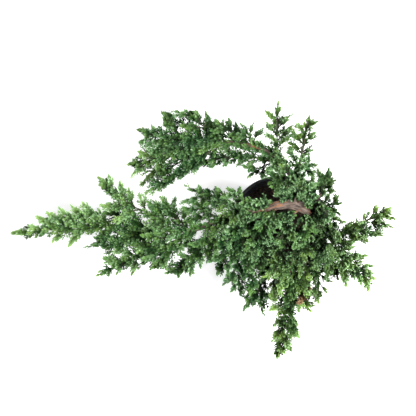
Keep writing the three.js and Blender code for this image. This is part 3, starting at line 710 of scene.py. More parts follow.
def shoot_stems(points, way, side, radius):
    """A three-sided stalk along each shoot: a ring at the foot, a thinner one halfway and the tip."""
    sides = 3
    halfway = PATH_POINTS // 2
    around = np.arange(sides) * (2 * math.pi / sides)
    rings = []
    for step, share in ((0, 1.0), (halfway, 0.8)):
        across = square_to(side, way[:, step])
        other = np.cross(way[:, step], across)
        ring = circles(around, across, other)
        rings.append(points[:, step][:, None] + share * radius * ring)
    vertices = np.concatenate([*rings, points[:, -1:]], axis=1)
    faces = [(2, 1, 0)]
    for k in range(sides):
        n = (k + 1) % sides
        faces += [(k, n, sides + k), (n, sides + n, sides + k), (sides + k, sides + n, 2 * sides)]
    faces = np.array(faces)[None] + vertices.shape[1] * np.arange(len(points))[:, None, None]
    return vertices.reshape(-1, 3), faces.reshape(-1, 3)


def side_fingers(points, way, side, length, rng):
    """Short fingers left and right of each shoot, shorter towards its tip. A short shoot has none.

    Returns each finger's path, its way along the path, its side and length, and the number of its shoot.
    """
    least = 4.6 * MM
    curl = 0.25
    sizes, rolls, leans = (0.85, 1.15), (-0.4, 0.9), (0.5, 0.75)
    parts = []
    steps = np.linspace(0, 1, PATH_POINTS)[None, :, None]
    for share, hand, reach in FINGERS:
        size = reach * length * rng.uniform(*sizes, len(points))
        grown = np.nonzero(size > least)[0]
        at = along(points, share)[grown]
        on = unit(along(way, share))[grown]
        across = square_to(side[grown], on)
        above = np.cross(on, across)
        above = above * np.where(above[:, 2:] < 0, -1, 1)
        roll = rng.uniform(*rolls, (len(at), 1))
        spread = hand * np.cos(roll) * across + np.sin(roll) * above
        lean = rng.uniform(*leans, (len(at), 1))[:, None] - curl * steps
        direction = unit(np.cos(lean) * on[:, None] + np.sin(lean) * spread[:, None])
        moves = direction[:, :-1] * (size[grown][:, None, None] / (PATH_POINTS - 1))
        path = np.concatenate([at[:, None], at[:, None] + np.cumsum(moves, axis=1)], axis=1)
        parts.append((path, direction, across, size[grown], grown))
    return tuple(np.concatenate(part) for part in zip(*parts))


def clothe(points, way, side, length, leaf, whorls, rng):
    """Awl-shaped leaves in whorls along each shoot, each whorl turned by half a leaf's share from the last.

    A leaf is widest two fifths of the way along, where it is folded, so it has two faces above and two below.
    Leaves lean out less towards the shoot's tip, where they close into a blunt tuft. `leaf` is the length and
    the width of each shoot's leaves.
    """
    leaf_length, leaf_width = leaf
    first_whorl, leaf_past_end, least_stalk, less_at_tip = 0.05, 0.7, 0.4, 0.25
    lean_foot, lean_less, lean_spread, spin_spread = 0.76, 0.42, 0.12, 0.25
    stand_off, belly_share, fold, hook = 0.15 * MM, 0.42, 0.4, 0.14
    sizes = 0.85, 1.1
    share = np.linspace(first_whorl, 1.0, whorls)
    stalk = np.clip(1 - leaf_past_end * leaf_length / length, least_stalk, 1)[:, None, None]
    middle = points[:, :1] + (along(points, share) - points[:, :1]) * stalk
    on = unit(along(way, share))
    across = square_to(side[:, None], on)
    other = np.cross(on, across)
    shoots = len(points)
    each_leaf = (shoots, whorls, WHORL_LEAVES)
    in_whorl = np.arange(WHORL_LEAVES) * 2 * math.pi / WHORL_LEAVES
    from_last = np.arange(whorls) % 2 * math.pi / WHORL_LEAVES
    spin = in_whorl[None, None] + from_last[None, :, None]
    spin = spin + rng.uniform(0, 2 * math.pi, (shoots, 1, 1))
    spin = spin + rng.uniform(-spin_spread, spin_spread, each_leaf)
    outward = circles(spin, across, other)
    lean = (lean_foot - lean_less * share ** 2)[None, :, None]
    lean = lean + rng.uniform(-lean_spread, lean_spread, each_leaf)
    forward = on[:, :, None]
    direction = unit(np.cos(lean)[..., None] * forward + np.sin(lean)[..., None] * outward)
    above = square_to(forward, direction)
    beside = np.cross(direction, above)
    shorter = (1 - less_at_tip * share ** 2)[None, :, None]
    reach = (leaf_length[:, None, None] * shorter * rng.uniform(*sizes, each_leaf))[..., None]
    root = middle[:, :, None] + stand_off * outward
    half = 0.5 * leaf_width[:, None, None, None]
    belly = root + belly_share * reach * direction
    left = belly + half * beside + fold * half * above
    right = belly - half * beside + fold * half * above
    tip = root + reach * direction + hook * reach * forward
    leaf_points = [root, left, right, tip]
    vertices = np.stack(leaf_points, axis=3).reshape(-1, 3)
    pattern = np.array([(0, 1, 2), (3, 2, 1), (0, 3, 1), (0, 2, 3)])
    first = np.arange(0, len(vertices), len(leaf_points))
    faces = (pattern[None] + first[:, None, None]).reshape(-1, 3)
    near_tip = np.broadcast_to(share[None, :, None], each_leaf).reshape(-1)
    return vertices, faces, near_tip


def leaf_colours(near_tip, growth, light, tint, shoot, rng):
    """The young, fresh and bloom numbers of each leaf. `shoot` is the number of the shoot that it grows on.

    A leaf is fresh near its shoot's tip and on a tender shoot; a low fresh number darkens a leaf, partly as
    an older leaf and partly as painted shade at a shoot's foot. A covered one has little light, which is
    painted shade. A spray that is paler than the rest has more bloom, which is partly painted highlight, and
    one with a tint below 0 has less, as painted shade.
    """
    yellow, pale = tint
    paler, painted_dimming = max(pale, 0), min(pale, 0)
    own_spread = 0.14
    shoot_wax, leaf_wax = (0.3, 1), (0.4, 1)
    tender = (1 - growth)[shoot]
    # Partly painted shade: leaves towards a shoot's foot and on full-grown shoots get a low fresh number,
    # which darkens them.
    fresh = np.clip(near_tip + 0.5 * tender, 0, 1)
    own = rng.uniform(-own_spread, own_spread, len(growth))[shoot]
    waxy = rng.uniform(*shoot_wax, len(growth))[shoot] * rng.uniform(*leaf_wax, len(shoot))
    # Painted shade: a tint below 0 darkens the fresh and bloom numbers, most on the inner and back sprays.
    dull_and_shaded = (1 + painted_dimming) * (0.62 + 0.38 * tender)
    young = yellow * (0.4 + 0.6 * tender) + 0.15 * fresh + own - 0.05
    # Waxy bloom, partly a painted highlight: strongest near the tips and on paler sprays.
    bloom_and_highlight = (0.02 + 0.9 * fresh ** 3) * waxy * dull_and_shaded + 0.8 * paler * (0.3 + 0.7 * tender) * fresh
    return {"young": young, "fresh": (fresh ** 2.1 * dull_and_shaded + 0.4 * paler) * light, "bloom_and_highlight": bloom_and_highlight * light}


def leafy_piece(name, buds, growth, crowd, stem, settings, materials, tint, rng):
    """Side shoots at every bud, clothed in leaves, with short fingers, on a stem of points and triangles."""
    stalk_radius = 0.65 * MM
    finger_leaf_length, finger_leaf_width = 0.85, 0.95
    deepest_painted_shade = 0.95
    sizes = 0.75, 1.15
    foot, out, onward = buds
    room = room_to_grow(foot, out, onward, crowd)
    length = settings.shoot_length * room * (0.5 + 0.5 * growth) * rng.uniform(*sizes, len(foot))
    paths, way = shoot_paths(foot, out, onward, growth, length, rng)
    level = unit(np.cross(UP, way[:, PATH_POINTS // 2]) + 0.25 * unit(np.cross(onward, out)))
    fingers, finger_way, finger_side, finger_length, owner = side_fingers(paths, way, level, length, rng)
    grown = 0.7 + 0.3 * growth
    leaf = settings.leaf_length * grown, settings.leaf_width * grown
    finger_leaf = finger_leaf_length * leaf[0][owner], finger_leaf_width * leaf[1][owner]
    long_points, long_faces, long_tip = clothe(paths, way, level, length, leaf, settings.whorls, rng)
    short_points, short_faces, short_tip = clothe(
        fingers, finger_way, finger_side, finger_length, finger_leaf, FINGER_WHORLS, rng)
    wood = [stem, shoot_stems(paths, way, level, stalk_radius)]
    vertices, faces = joined(wood + [(long_points, long_faces), (short_points, short_faces)])
    woody = sum(len(triangles) for _, triangles in wood)
    piece = new_piece(name, vertices, faces, materials, smooth=False)
    slots = np.zeros(len(faces), np.int32)
    slots[:woody] = 1
    piece.data.polygons.foreach_set("material_index", slots)
    shoot = np.concatenate([np.repeat(np.arange(len(foot)), settings.whorls * WHORL_LEAVES),
                            np.repeat(owner, FINGER_WHORLS * WHORL_LEAVES)])
    # Painted shade: leaves of a shoot with others close above it are darkened, as if shaded, by lowering
    # their fresh and bloom numbers.
    light = 1 - deepest_painted_shade * cover_above(foot, crowd)[shoot]
    near_tip = np.concatenate([long_tip, 0.3 + 0.7 * short_tip])
    colours = leaf_colours(near_tip, growth, light, tint, shoot, rng)
    bare = np.zeros(woody)
    for kind, value in colours.items():
        carried = BLOOM_AND_HIGHLIGHT_FACES if kind == "bloom_and_highlight" else np.ones_like(BLOOM_AND_HIGHLIGHT_FACES)
        by_face = np.clip(value, 0, 1)[:, None] * carried
        set_attribute(piece, kind, "FACE", np.concatenate([bare, by_face.ravel()]))
    return piece


def spray_buds(node_name, settings, rng):
    """A spray's buds, one for each modelled leaf and more between them, and its stems without leaves."""
    points, triangles = solid_of(node_name)
    foot, out, onward, stem = leaf_sites(points, triangles)
    more = stem_buds(points, stem, foot, onward, settings, rng)
    buds = tuple(np.concatenate(pair) for pair in zip((foot, out, onward), more))
    return buds, (points, stem)


def spray_piece(name, buds, stem, crowd, settings, materials, rng):
    """One spray: every bud becomes a leafy side shoot, shorter towards the ends of the stems."""
    foot, _, onward = buds
    growth = np.clip(reach_ahead(foot, onward) / FULL_GROWTH, 0, 1)
    tint = TINTS.get(name.removeprefix("leaves_"), USUAL_TINT)
    return leafy_piece(name, buds, growth, crowd, stem, settings, materials, tint, rng)


def upper_side(onward, past, rng):
    """A random direction across each way on, in the upper half or up to `past` radians below it."""
    side = unit(np.cross(UP, onward))
    above = np.cross(onward, side)
    turn = rng.uniform(-past, math.pi + past, (len(onward), 1))
    return np.cos(turn) * side + np.sin(turn) * above


def branch_buds(name, spacing, start, end, rng):
    """Buds on the upper side of a branch, near an even spacing between two shares of its length."""
    steps, least_buds = 200, 3
    jitter, sunk_to = 0.4, 0.9
    thick, thin, pixels = BRANCHES[name]
    control = control_points(pixels)
    _, length = smooth_line(control, 2)
    count = max(least_buds, int(length * (end - start) / spacing))
    line, _ = smooth_line(control, steps)
    tangent = unit(np.gradient(line, axis=0))
    share = np.linspace(start, end, count) + rng.uniform(-jitter, jitter, count) * spacing / length
    spot = np.clip(share * (steps - 1), 0, steps - 1).astype(int)
    onward = tangent[spot]
    out = upper_side(onward, past=0.5, rng=rng)
    radius = (thick + (thin - thick) * share[:, None]) * MM
    return line[spot] + sunk_to * radius * out, out, onward


def leafy_twig(root, pixels, rng):
    """A twig's tube, which thins evenly to its tip, and buds on its upper side with their growth."""
    steps, sides, thick, thin = 12, 5, 1.3 * MM, 0.6 * MM
    first_bud, spacing = 0.12, 2.1 * MM
    line, length = smooth_line([root] + control_points(pixels), steps)
    first, second = carried_frames(line)
    around = np.arange(sides) * 2 * math.pi / sides
    ring = circles(around, first, second)
    radius = np.linspace(thick, thin, steps)[:, None, None]
    tube = np.concatenate([(line[:, None] + radius * ring).reshape(-1, 3), line[:1], line[-1:]])
    triangles = closed_tube_faces(steps, sides)
    count = int(length / spacing)
    spot = rng.uniform(first_bud, 1, count) * (steps - 1)
    step = np.minimum(spot.astype(int), steps - 2)
    part = (spot - step)[:, None]
    at = line[step] * (1 - part) + line[step + 1] * part
    onward = unit(np.gradient(line, axis=0))[step]
    out = upper_side(onward, past=0.4, rng=rng)
    growth = np.clip((1 - spot / (steps - 1)) * length / FULL_GROWTH, 0, 1)
    return tube, triangles, at, out, onward, growth


def twigs_piece(name, twigs, crowd, settings, materials, seed):
    """Leafy twigs that start in a branch, each at a share of its length."""
    steps = 100
    rng = np.random.default_rng(seed)
    parts = []
    for branch, share, pixels in twigs:
        line, _ = smooth_line(control_points(BRANCHES[branch][2]), steps)
        parts.append(leafy_twig(line[int(share * (steps - 1))], pixels, rng))
    _, _, *buds, growth = zip(*parts)
    buds = tuple(np.concatenate(part) for part in buds)
    growth = np.concatenate(growth)
    return leafy_piece(name, buds, growth, crowd, joined(parts), settings, materials, TWIG_TINTS[name], rng)


def short_shoots(crowd, settings, materials, seed):
    """Short leafy shoots that stand on the upper side of the leafy branches."""
    growths = 0.1, 0.7
    rng = np.random.default_rng(seed)
    parts = [branch_buds(name, spacing * MM, start, end, rng)
             for name, (spacing, start, end) in SHORT_SHOOTS.items()]
    buds = tuple(np.concatenate(part) for part in zip(*parts))
    growth = rng.uniform(*growths, len(buds[0]))
    nothing = (np.zeros((0, 3)), np.zeros((0, 3), int))
    return leafy_piece("short_shoots", buds, growth, crowd, nothing, settings, materials, USUAL_TINT, rng)


# Wood


def place(across, down, height):
    """The point that the photograph shows at those pixels, at a height in metres."""
    scale = RIM_SCALE * (EYE[2] - height) / (EYE[2] - RIM_HEIGHT)
    x = EYE[0] + (across - PHOTO_MIDDLE) * scale
    y = EYE[1] - (down - PHOTO_MIDDLE) * scale
    return np.array([x, y, height])


def control_points(pixels):
    """The points at pixels across and down the photograph, each with a height in millimetres."""
    return [place(across, down, height * MM) for across, down, height in pixels]


def smooth_line(points, steps):
    """Points at even spacing along a curve through the given ones, and its length.

    The curve's tangent at each point is half the step between its neighbours.
    """
    samples = 60
    points = np.asarray(points)
    ends = np.concatenate([2 * points[:1] - points[1:2], points, 2 * points[-1:] - points[-2:-1]])
    share = np.linspace(0, 1, samples, endpoint=False)[:, None]
    before, first, second, after = (ends[k:len(points) - 1 + k] for k in range(4))
    start = 0.5 * (second - before)
    end = 0.5 * (after - first)
    pieces = [a + share * p + share**2 * (3 * (b - a) - 2 * p - q) + share**3 * (2 * (a - b) + p + q)
              for a, b, p, q in zip(first, second, start, end)]
    line = np.concatenate([*pieces, points[-1:]])
    run = np.concatenate([[0], np.cumsum(np.linalg.norm(np.diff(line, axis=0), axis=1))])
    even = np.linspace(0, run[-1], steps)
    return np.stack([np.interp(even, run, line[:, k]) for k in range(3)], axis=1), run[-1]


def carried_frames(line):
    """Two directions across a line at each point, carried along it without twisting."""
    nearly_along = 0.8
    tangent = unit(np.gradient(line, axis=0))
    across = np.empty_like(tangent)
    x_axis, y_axis = np.array([1.0, 0.0, 0.0]), np.array([0.0, 1.0, 0.0])
    start = x_axis if abs(tangent[0, 0]) < nearly_along else y_axis
    for i, way in enumerate(tangent):
        start = start - start.dot(way) * way
        start = start / np.linalg.norm(start)
        across[i] = start
    return across, np.cross(tangent, across)


def branch_radius(name, share, distance, angle):
    """A branch's radius before its bark: it thins evenly, swells near its root, and the trunk has lobes."""
    thick, thin, _ = BRANCHES[name]
    radius = (thick + (thin - thick) * share) * MM
    if name == "trunk":
        flare, flare_at = 4 * MM, 0.14
        radius = radius + flare * np.clip(1 - np.abs(share - flare_at) / flare_at, 0, 1)
        return radius * (1 + 0.1 * np.cos(3 * angle + 6 * share) + 0.05 * np.cos(5 * angle - 4 * share))
    swelling, swollen_reach = 0.25, 5 * MM
    return radius * np.ones_like(angle) * (1 + swelling * np.exp(-distance / swollen_reach))


def bark_layer(thick, distance, angle, seed):
    """The bark's layer from 0 to 1: wandering ridges and finer ones, and flakes where those are high."""
    wander_cells, least_cells, cells_a_mm, fine_cells = 4, 6, 2.2, 3
    wander_run, ridge_run, fine_run = 14 * MM, 9 * MM, 5 * MM
    flake_edge, flake_foot, flake_rise = 0.38, 0.55, 0.45
    lap = angle / (2 * math.pi)
    cells = max(least_cells, int(round(thick * cells_a_mm)))
    wander = 0.5 * lattice_noise(lap * wander_cells, distance / wander_run, wander_cells, seed + 1)
    ridges = lattice_noise(lap * cells + wander, distance / ridge_run, cells, seed)
    fine = lattice_noise(lap * cells * fine_cells, distance / fine_run, cells * fine_cells, seed + 2)
    layer = np.clip(0.7 * ridges + 0.3 * fine, 0, 1)
    return np.where(layer > flake_edge, flake_foot + flake_rise * layer, layer)


def branch_tube(name, settings, seed):
    """A branch: a circle carried along its line, raised by its bark, and drawn in at its ends."""
    thick, thin, pixels = BRANCHES[name]
    bough, least_rings = 4, 8
    around = 32 if thick > bough else 20
    ring_spacing = 1.8 * MM
    if name == "trunk":
        around = 72
        ring_spacing = 1.1 * MM
    full_relief, level, end_layer, seed_shift = 9 * MM, 0.62, 0.4, 0.37
    control = control_points(pixels)
    _, length = smooth_line(control, 2)
    steps = max(least_rings, int(length / ring_spacing))
    line, _ = smooth_line(control, steps)
    first, second = carried_frames(line)
    share = np.linspace(0, 1, steps)[:, None]
    angle = np.linspace(0, 2 * math.pi, around, endpoint=False)[None, :]
    distance = share * length
    radius = branch_radius(name, share, distance, angle)
    raised = bark_layer(thick, distance, angle, seed)
    depth = settings.relief * np.minimum(1, radius / full_relief)
    bark = radius + depth * (raised - level)
    ends = np.minimum(share, 1 - share) * length
    bark = bark * np.sqrt(np.clip(ends / (0.5 * thin * MM) + 0.05, 0, 1))
    ring = circles(angle, first, second)
    points = line[:, None] + bark[..., None] * ring
    points = np.concatenate([points.reshape(-1, 3), line[:1], line[-1:]])
    layer = np.concatenate([raised.ravel(), [end_layer, end_layer]])
    turn = np.broadcast_to(np.sin(angle * 0.5) * thick * MM * 2, raised.shape).ravel()
    run = np.broadcast_to(distance, raised.shape).ravel()
    uv = np.stack([np.concatenate([turn, [0, 0]]), np.concatenate([run, [0, length]])], axis=1)
    return points, closed_tube_faces(steps, around), layer, uv + seed * seed_shift


def wood_piece(settings, material):
    """The trunk, its branches and its dead stubs in one piece."""
    first_seed, seeds_each = 11, 3
    parts = [branch_tube(name, settings, first_seed + seeds_each * k) for k, name in enumerate(BRANCHES)]
    _, _, layers, spots = zip(*parts)
    piece = new_piece("bark", *joined(parts), [material])
    set_attribute(piece, "layer", "POINT", np.concatenate(layers))
    uv = np.concatenate(spots)
    corners = np.empty(len(piece.data.loops), np.int32)
    piece.data.loops.foreach_get("vertex_index", corners)
    piece.data.uv_layers.new(name="bark").data.foreach_set("uv", uv[corners].astype(np.float32).ravel())
    return piece


# Pot and potting mix


def turned_grid(radius, height, segments):
    """An outline of radii and heights turned about +Z, closed on the axis at both ends."""
    angle = np.linspace(0, 2 * math.pi, segments, endpoint=False)
    ring = np.stack([np.cos(angle), np.sin(angle), np.zeros(segments)], axis=1)
    points = radius[1:-1, None, None] * ring[None] + height[1:-1, None, None] * UP
    points = np.concatenate([points.reshape(-1, 3), [[0, 0, height[0]], [0, 0, height[-1]]]])
    return points, closed_tube_faces(len(radius) - 2, segments)


def inner_radius(pot, height):
    """The pot's inner radius at a height: it widens evenly from the floor to the lip."""
    top = pot.rim_radius - pot.lip_width
    bottom = pot.foot_radius - pot.wall
    return bottom + (top - bottom) * height / pot.height


def pot_outline(pot):
    """Radii and heights from the middle of the underside, up the outside, over the lip and down inside.

    The foot and the lip have round edges. Shallow lines run round high up outside and inside, wherever a sine
    of the height is near its top.
    """
    foot_curve, lip_curve, arc_points = 1.5 * MM, 1.6 * MM, 6
    groove, line_depth = 0.25 * MM, 0.22 * MM
    wall_points, lip_points, top_points, inside_points = 24, 8, 4, 44
    shoulder = pot.height - pot.lip_height
    foot = np.array([[pot.foot_radius - foot_curve + foot_curve * math.sin(a),
                      foot_curve - foot_curve * math.cos(a)]
                     for a in np.linspace(0, math.pi / 2, arc_points)])
    low = np.array([pot.foot_radius, foot_curve])
    high = np.array([inner_radius(pot, shoulder) + pot.wall, shoulder])
    climb = np.linspace(0, 1, wall_points)[1:, None]
    wall = low + (high - low) * climb
    ringed = (np.sin(wall[:, 1] / MM * 0.9) > 0.82) * (wall[:, 1] > 0.6 * pot.height)
    wall[:, 0] -= groove * ringed
    step = np.array([[pot.rim_radius - 1 * MM, shoulder], [pot.rim_radius - 0.25 * MM, shoulder + 0.3 * MM],
                     [pot.rim_radius, shoulder + 1 * MM]])
    lip_heights = np.linspace(shoulder + 1.6 * MM, pot.height - 1.8 * MM, lip_points)
    lip = np.array([[pot.rim_radius, z] for z in lip_heights])
    over = np.array([[pot.rim_radius - lip_curve + lip_curve * math.cos(a),
                      pot.height - lip_curve + lip_curve * math.sin(a)]
                     for a in np.linspace(0.1, math.pi / 2, arc_points)])
    inner_edge = inner_radius(pot, pot.height) + 1.2 * MM
    top = np.array([[r, pot.height] for r in np.linspace(pot.rim_radius - 2.2 * MM, inner_edge, top_points)])
    depth = np.linspace(pot.height - 1.2 * MM, POT_FLOOR, inside_points)
    inside = np.stack([inner_radius(pot, depth), depth], axis=1)
    inside[:, 0] += line_depth * ((np.sin(depth / MM * 2.1) > 0.55) & (depth > 0.8 * pot.height))
    parts = [[[0, 0]], foot, wall, step, lip, over, top, inside, [[0, POT_FLOOR]]]
    outline = np.concatenate([np.asarray(part, float) for part in parts])
    return outline[:, 0], outline[:, 1]


def drain_cutters():
    """Closed round rods that lie in a star under the pot, as points and triangles."""
    around = 24
    start, end = [DRAIN_FROM, 0, 0], [DRAIN_FROM + DRAIN_REACH, 0, 0]
    ring = np.linspace(0, 2 * math.pi, around, endpoint=False)
    circle = np.stack([np.zeros(around), DRAIN_RADIUS * np.cos(ring), DRAIN_RADIUS * np.sin(ring)], axis=1)
    rod = np.concatenate([circle + start, circle + end, [start, end]])
    rods = []
    for k in range(DRAINS):
        turn = (k + 0.5) / DRAINS * 2 * math.pi
        cos, sin = math.cos(turn), math.sin(turn)
        spin = np.array([[cos, sin, 0], [-sin, cos, 0], [0, 0, 1]])
        rods.append((rod @ spin, closed_tube_faces(2, around)))
    return joined(rods)


def pot_piece(pot, material):
    """The pot turned from its outline, with drain slots cut through the foot."""
    points, triangles = turned_grid(*pot_outline(pot), segments=144)
    piece = new_piece("nursery_pot", points, triangles, [material])
    cutter = new_piece("drains", *drain_cutters(), [])
    cut = piece.modifiers.new("drains", "BOOLEAN")
    cut.operation = "DIFFERENCE"
    cut.solver = "EXACT"
    cut.object = cutter
    apply_modifiers(piece)
    bpy.data.objects.remove(cutter)
    return piece


def apply_modifiers(piece):
    """Replaces a piece's mesh by what its modifiers make of it."""
    view = bpy.context.evaluated_depsgraph_get()
    finished = bpy.data.meshes.new_from_object(piece.evaluated_get(view))
    piece.modifiers.clear()
    piece.data = finished


def mix_height(pot, x, y):
    """Height of the potting mix: a mound, lumps of crossed waves and crumbs of noise, flat at the wall."""
    mound_height, lump_height, sunk = 5 * MM, 1.1 * MM, 0.8 * MM
    steepness, fade = 1.25, 12
    reach = np.hypot(x, y) / inner_radius(pot, pot.fill_height)
    mound = mound_height * np.clip(steepness * (1 - reach), 0, 1)
    lumps = lump_height * np.sin(x / MM * 0.31 + y / MM * 0.11) * np.cos(y / MM * 0.27 - x / MM * 0.07)
    crumbs = sum(height * (lattice_noise(x / width + shift, y / width + shift, LATTICE, seed) - 0.5)
                 for height, width, shift, seed in CRUMBS)
    return pot.fill_height + mound + (lumps + crumbs) * np.clip((1 - reach) * fade, 0, 1) - sunk


def bark_chips(pot, reach_to, rng):
    """Six-pointed chips spread evenly over a disc of potting mix, each with its own size, turn and tilt."""
    raised, tilt_spread = 0.4 * MM, 0.35
    sizes, stretches = (1.2, 4.2), (0.7, 1.2)
    chip_sides = np.array([1.0, 0.55, 0.28])
    count = pot.chips
    turn = rng.uniform(0, 2 * math.pi, count)
    reach = reach_to * np.sqrt(rng.random(count))
    x, y = reach * np.cos(turn), reach * np.sin(turn)
    centre = np.stack([x, y, mix_height(pot, x, y) + raised], axis=1)
    size = rng.uniform(*sizes, (count, 1, 1)) * MM * chip_sides[None, None]
    knobs = np.array([(1, 0, 0), (-1, 0, 0), (0, 1, 0), (0, -1, 0), (0, 0, 1), (0, 0, -1)], float)
    corners = knobs[None] * size * rng.uniform(*stretches, (count, len(knobs), 1))
    yaw = rng.uniform(0, 2 * math.pi, count)
    tilt = rng.normal(0, tilt_spread, count)
    along_x = np.stack([np.cos(yaw) * np.cos(tilt), np.sin(yaw) * np.cos(tilt), np.sin(tilt)], axis=1)
    along_y = unit(np.cross(np.broadcast_to(UP, along_x.shape), along_x))
    along_z = np.cross(along_x, along_y)
    chips = centre[:, None] + (corners[..., :1] * along_x[:, None] + corners[..., 1:2] * along_y[:, None]
                               + corners[..., 2:] * along_z[:, None])
    pattern = np.array([(0, 2, 4), (2, 1, 4), (1, 3, 4), (3, 0, 4),
                        (2, 0, 5), (1, 2, 5), (3, 1, 5), (0, 3, 5)])
    triangles = (pattern[None] + len(knobs) * np.arange(count)[:, None, None]).reshape(-1, 3)
    return chips.reshape(-1, 3), triangles


def mix_piece(pot, material):
    """The potting mix, filling the pot, with chips of bark over it, most of them dark."""
    base, clear, from_wall, palest = 2.75 * MM, 0.4 * MM, 3.5 * MM, 0.8
    edge = inner_radius(pot, pot.fill_height) - clear
    rings = np.linspace(0, 1, 44)[1:]
    radius = np.concatenate([[0], [inner_radius(pot, base) - clear], edge * rings[::-1], [0]])
    height = np.concatenate([[base], [base], np.full(len(rings), pot.fill_height), [pot.fill_height]])
    points, triangles = turned_grid(radius, height, segments=120)
    top = points[:, 2] > 0.5 * pot.fill_height
    points[top, 2] = mix_height(pot, points[top, 0], points[top, 1])
    rng = np.random.default_rng(pot.seed)
    chips = bark_chips(pot, edge - from_wall, rng)
    piece = new_piece("potting_mix", *joined([(points, triangles), chips]), [material], smooth=False)
    brown = np.repeat(rng.random(pot.chips) ** 2 * palest, len(chips[1]) // pot.chips)
    set_attribute(piece, "shade", "FACE", np.concatenate([np.zeros(len(triangles)), brown]))
    return piece


# Studio


def sweep():
    """A round floor, in metres, that curves up in a quarter circle into a wall. A fan closes its middle."""
    flat, bend, wall = 5.0, 1.0, 3.2
    inner_ring = 0.8
    around, curve_points = 96, 9
    turn = np.linspace(0, math.pi / 2, curve_points)
    radius = np.concatenate([[inner_ring * flat], flat + bend * np.sin(turn), [flat + bend]])
    height = np.concatenate([[0], bend - bend * np.cos(turn), [wall]])
    angle = np.linspace(0, 2 * math.pi, around, endpoint=False)
    ring = np.stack([np.cos(angle), np.sin(angle), np.zeros(around)], axis=1)
    points = radius[:, None, None] * ring + height[:, None, None] * UP
    faces = grid_faces(len(radius), around)[:, ::-1]
    k = np.arange(around)
    fan = np.stack([np.full(around, len(radius) * around), k, (k + 1) % around], axis=1)
    triangles = np.concatenate([faces[:, [0, 1, 2]], faces[:, [0, 2, 3]], fan])
    return np.concatenate([points.reshape(-1, 3), np.zeros((1, 3))]), triangles


def hang(name, data, spot):
    """A lamp or camera at a spot in the studio. It looks straight down until it is turned."""
    held = bpy.data.objects.new(name, data)
    held.location = spot
    bpy.context.scene.collection.objects.link(held)
    return held


# Operators


class GrowSprays(bpy.types.Operator):
    """Clothe every spray in leafy shoots"""

    bl_idname = "juniper.grow_sprays"
    bl_label = "Grow Sprays"

    def execute(self, context):
        settings = context.scene.juniper_foliage
        twig = twig_material()
        leaf = leaf_material("juniper_leaf", settings.old_colour, settings.young_colour,
                             settings.glaucous_colour, settings.bloom_and_highlight_colour)
        brown = settings.dead_colour
        dead = leaf_material("dead_leaf", brown, brown, brown, settings.dead_bloom_and_highlight_colour)
        materials = [leaf, twig]
        sprays = sorted(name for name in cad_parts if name.startswith("spray_"))
        draws = [np.random.default_rng(settings.seed + k) for k in range(len(sprays))]
        grown = [spray_buds(node_name, settings, rng) for node_name, rng in zip(sprays, draws)]
        crowd = np.concatenate([buds[0] for buds, _ in grown])
        for node_name, (buds, stem), rng in zip(sprays, grown, draws):
            name = "leaves_" + node_name.removeprefix("spray_")
            piece = spray_piece(name, buds, stem, crowd, settings, materials, rng)
            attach(piece, BODY)
            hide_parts(node_name)
        seed = settings.seed + len(sprays)
        half = len(FILLERS) // 2
        for piece in (short_shoots(crowd, settings, materials, seed),
                      twigs_piece("left_twigs", FILLERS[:half], crowd, settings, materials, seed + 1),
                      twigs_piece("right_twigs", FILLERS[half:], crowd, settings, materials, seed + 2),
                      twigs_piece("dead_twig", DEAD_TWIGS, crowd, settings, [dead, twig], seed + 3)):
            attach(piece, BODY)
        return {"FINISHED"}


class GrowWood(bpy.types.Operator):
    """Give the trunk and branches their bark"""

    bl_idname = "juniper.grow_wood"
    bl_label = "Grow Wood"

    def execute(self, context):
        settings = context.scene.juniper_bark
        piece = wood_piece(settings, bark_material(settings))
        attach(piece, BODY)
        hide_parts("trunk_and_branches")
        return {"FINISHED"}


class TurnPot(bpy.types.Operator):
    """Turn the nursery pot"""

    bl_idname = "juniper.turn_pot"
    bl_label = "Turn Pot"

    def execute(self, context):
        pot = context.scene.juniper_pot
        piece = pot_piece(pot, plastic_material(pot))
        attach(piece, BODY)
        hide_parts("pot")
        return {"FINISHED"}


class FillPot(bpy.types.Operator):
    """Fill the pot with potting mix"""

    bl_idname = "juniper.fill_pot"
    bl_label = "Fill Pot"

    def execute(self, context):
        pot = context.scene.juniper_pot
        piece = mix_piece(pot, mix_material())
        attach(piece, BODY)
        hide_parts("soil")
        return {"FINISHED"}


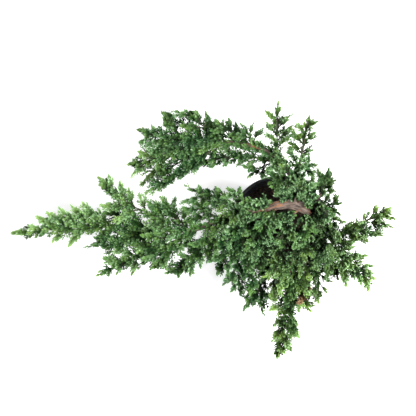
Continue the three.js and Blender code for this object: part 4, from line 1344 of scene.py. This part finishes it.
class LightStudio(bpy.types.Operator):
    """Lay the pale floor, hang the soft light and set the camera overhead"""

    bl_idname = "juniper.light_studio"
    bl_label = "Light Studio"

    def execute(self, context):
        scene = context.scene
        studio = scene.juniper_studio
        material, shader = new_material("studio_floor", roughness=0.9, specular=0.2)
        shader.inputs["Base Color"].default_value = (*[studio.floor_grey] * 3, 1)
        shader.inputs["Emission Color"].default_value = WHITE
        shader.inputs["Emission Strength"].default_value = studio.floor_glow
        floor = new_piece("floor", *sweep(), [material])
        world = bpy.data.worlds.new("studio")
        world.use_nodes = True
        sky = world.node_tree.nodes["Background"]
        sky.inputs["Color"].default_value = WHITE
        sky.inputs["Strength"].default_value = studio.sky_strength
        scene.world = world
        scene.view_settings.view_transform = "Standard"
        lamp = bpy.data.lights.new("key", "AREA")
        lamp.size = studio.lamp_size
        lamp.energy = studio.lamp_power
        held = hang("key", lamp, LAMP_PLACE)
        aim = Vector(LAMP_AIM) - held.location
        held.rotation_euler = aim.to_track_quat("-Z", "Y").to_euler()
        camera = bpy.data.cameras.new("overhead")
        camera.sensor_width = SENSOR_WIDTH
        camera.lens = (EYE[2] - RIM_HEIGHT) / RIM_SCALE * SENSOR_WIDTH / PHOTO_WIDTH
        camera.clip_end = 20
        scene.camera = hang("overhead", camera, EYE)
        return {"FINISHED"}


class JuniperPanel(bpy.types.Panel):
    """Lists the steps that dress the bonsai, and their settings"""

    bl_idname = "VIEW3D_PT_juniper"
    bl_label = "Juniper Bonsai"
    bl_space_type = "VIEW_3D"
    bl_region_type = "UI"
    bl_category = "Juniper"

    def draw(self, context):
        for operator in OPERATORS:
            self.layout.operator(operator.bl_idname)
        for group in SETTINGS:
            settings = getattr(context.scene, group)
            for name in settings.__annotations__:
                self.layout.prop(settings, name)


SETTINGS = {
    "juniper_foliage": FoliageSettings,
    "juniper_bark": BarkSettings,
    "juniper_pot": PotSettings,
    "juniper_studio": StudioSettings,
}
OPERATORS = (LightStudio, TurnPot, FillPot, GrowWood, GrowSprays)


def register():
    """Adds the settings, the steps and the panel."""
    for name, group in SETTINGS.items():
        bpy.utils.register_class(group)
        setattr(bpy.types.Scene, name, PointerProperty(type=group))
    for operator in OPERATORS:
        bpy.utils.register_class(operator)
    bpy.utils.register_class(JuniperPanel)


def unregister():
    """Takes the panel, the steps and the settings away again."""
    bpy.utils.unregister_class(JuniperPanel)
    for operator in reversed(OPERATORS):
        bpy.utils.unregister_class(operator)
    for name, group in SETTINGS.items():
        delattr(bpy.types.Scene, name)
        bpy.utils.unregister_class(group)


def main():
    """Registers the add-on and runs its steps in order."""
    register()
    bpy.ops.juniper.light_studio()
    bpy.ops.juniper.turn_pot()
    bpy.ops.juniper.fill_pot()
    bpy.ops.juniper.grow_wood()
    bpy.ops.juniper.grow_sprays()
    bpy.context.view_layer.update()


if __name__ == "__main__":
    main()
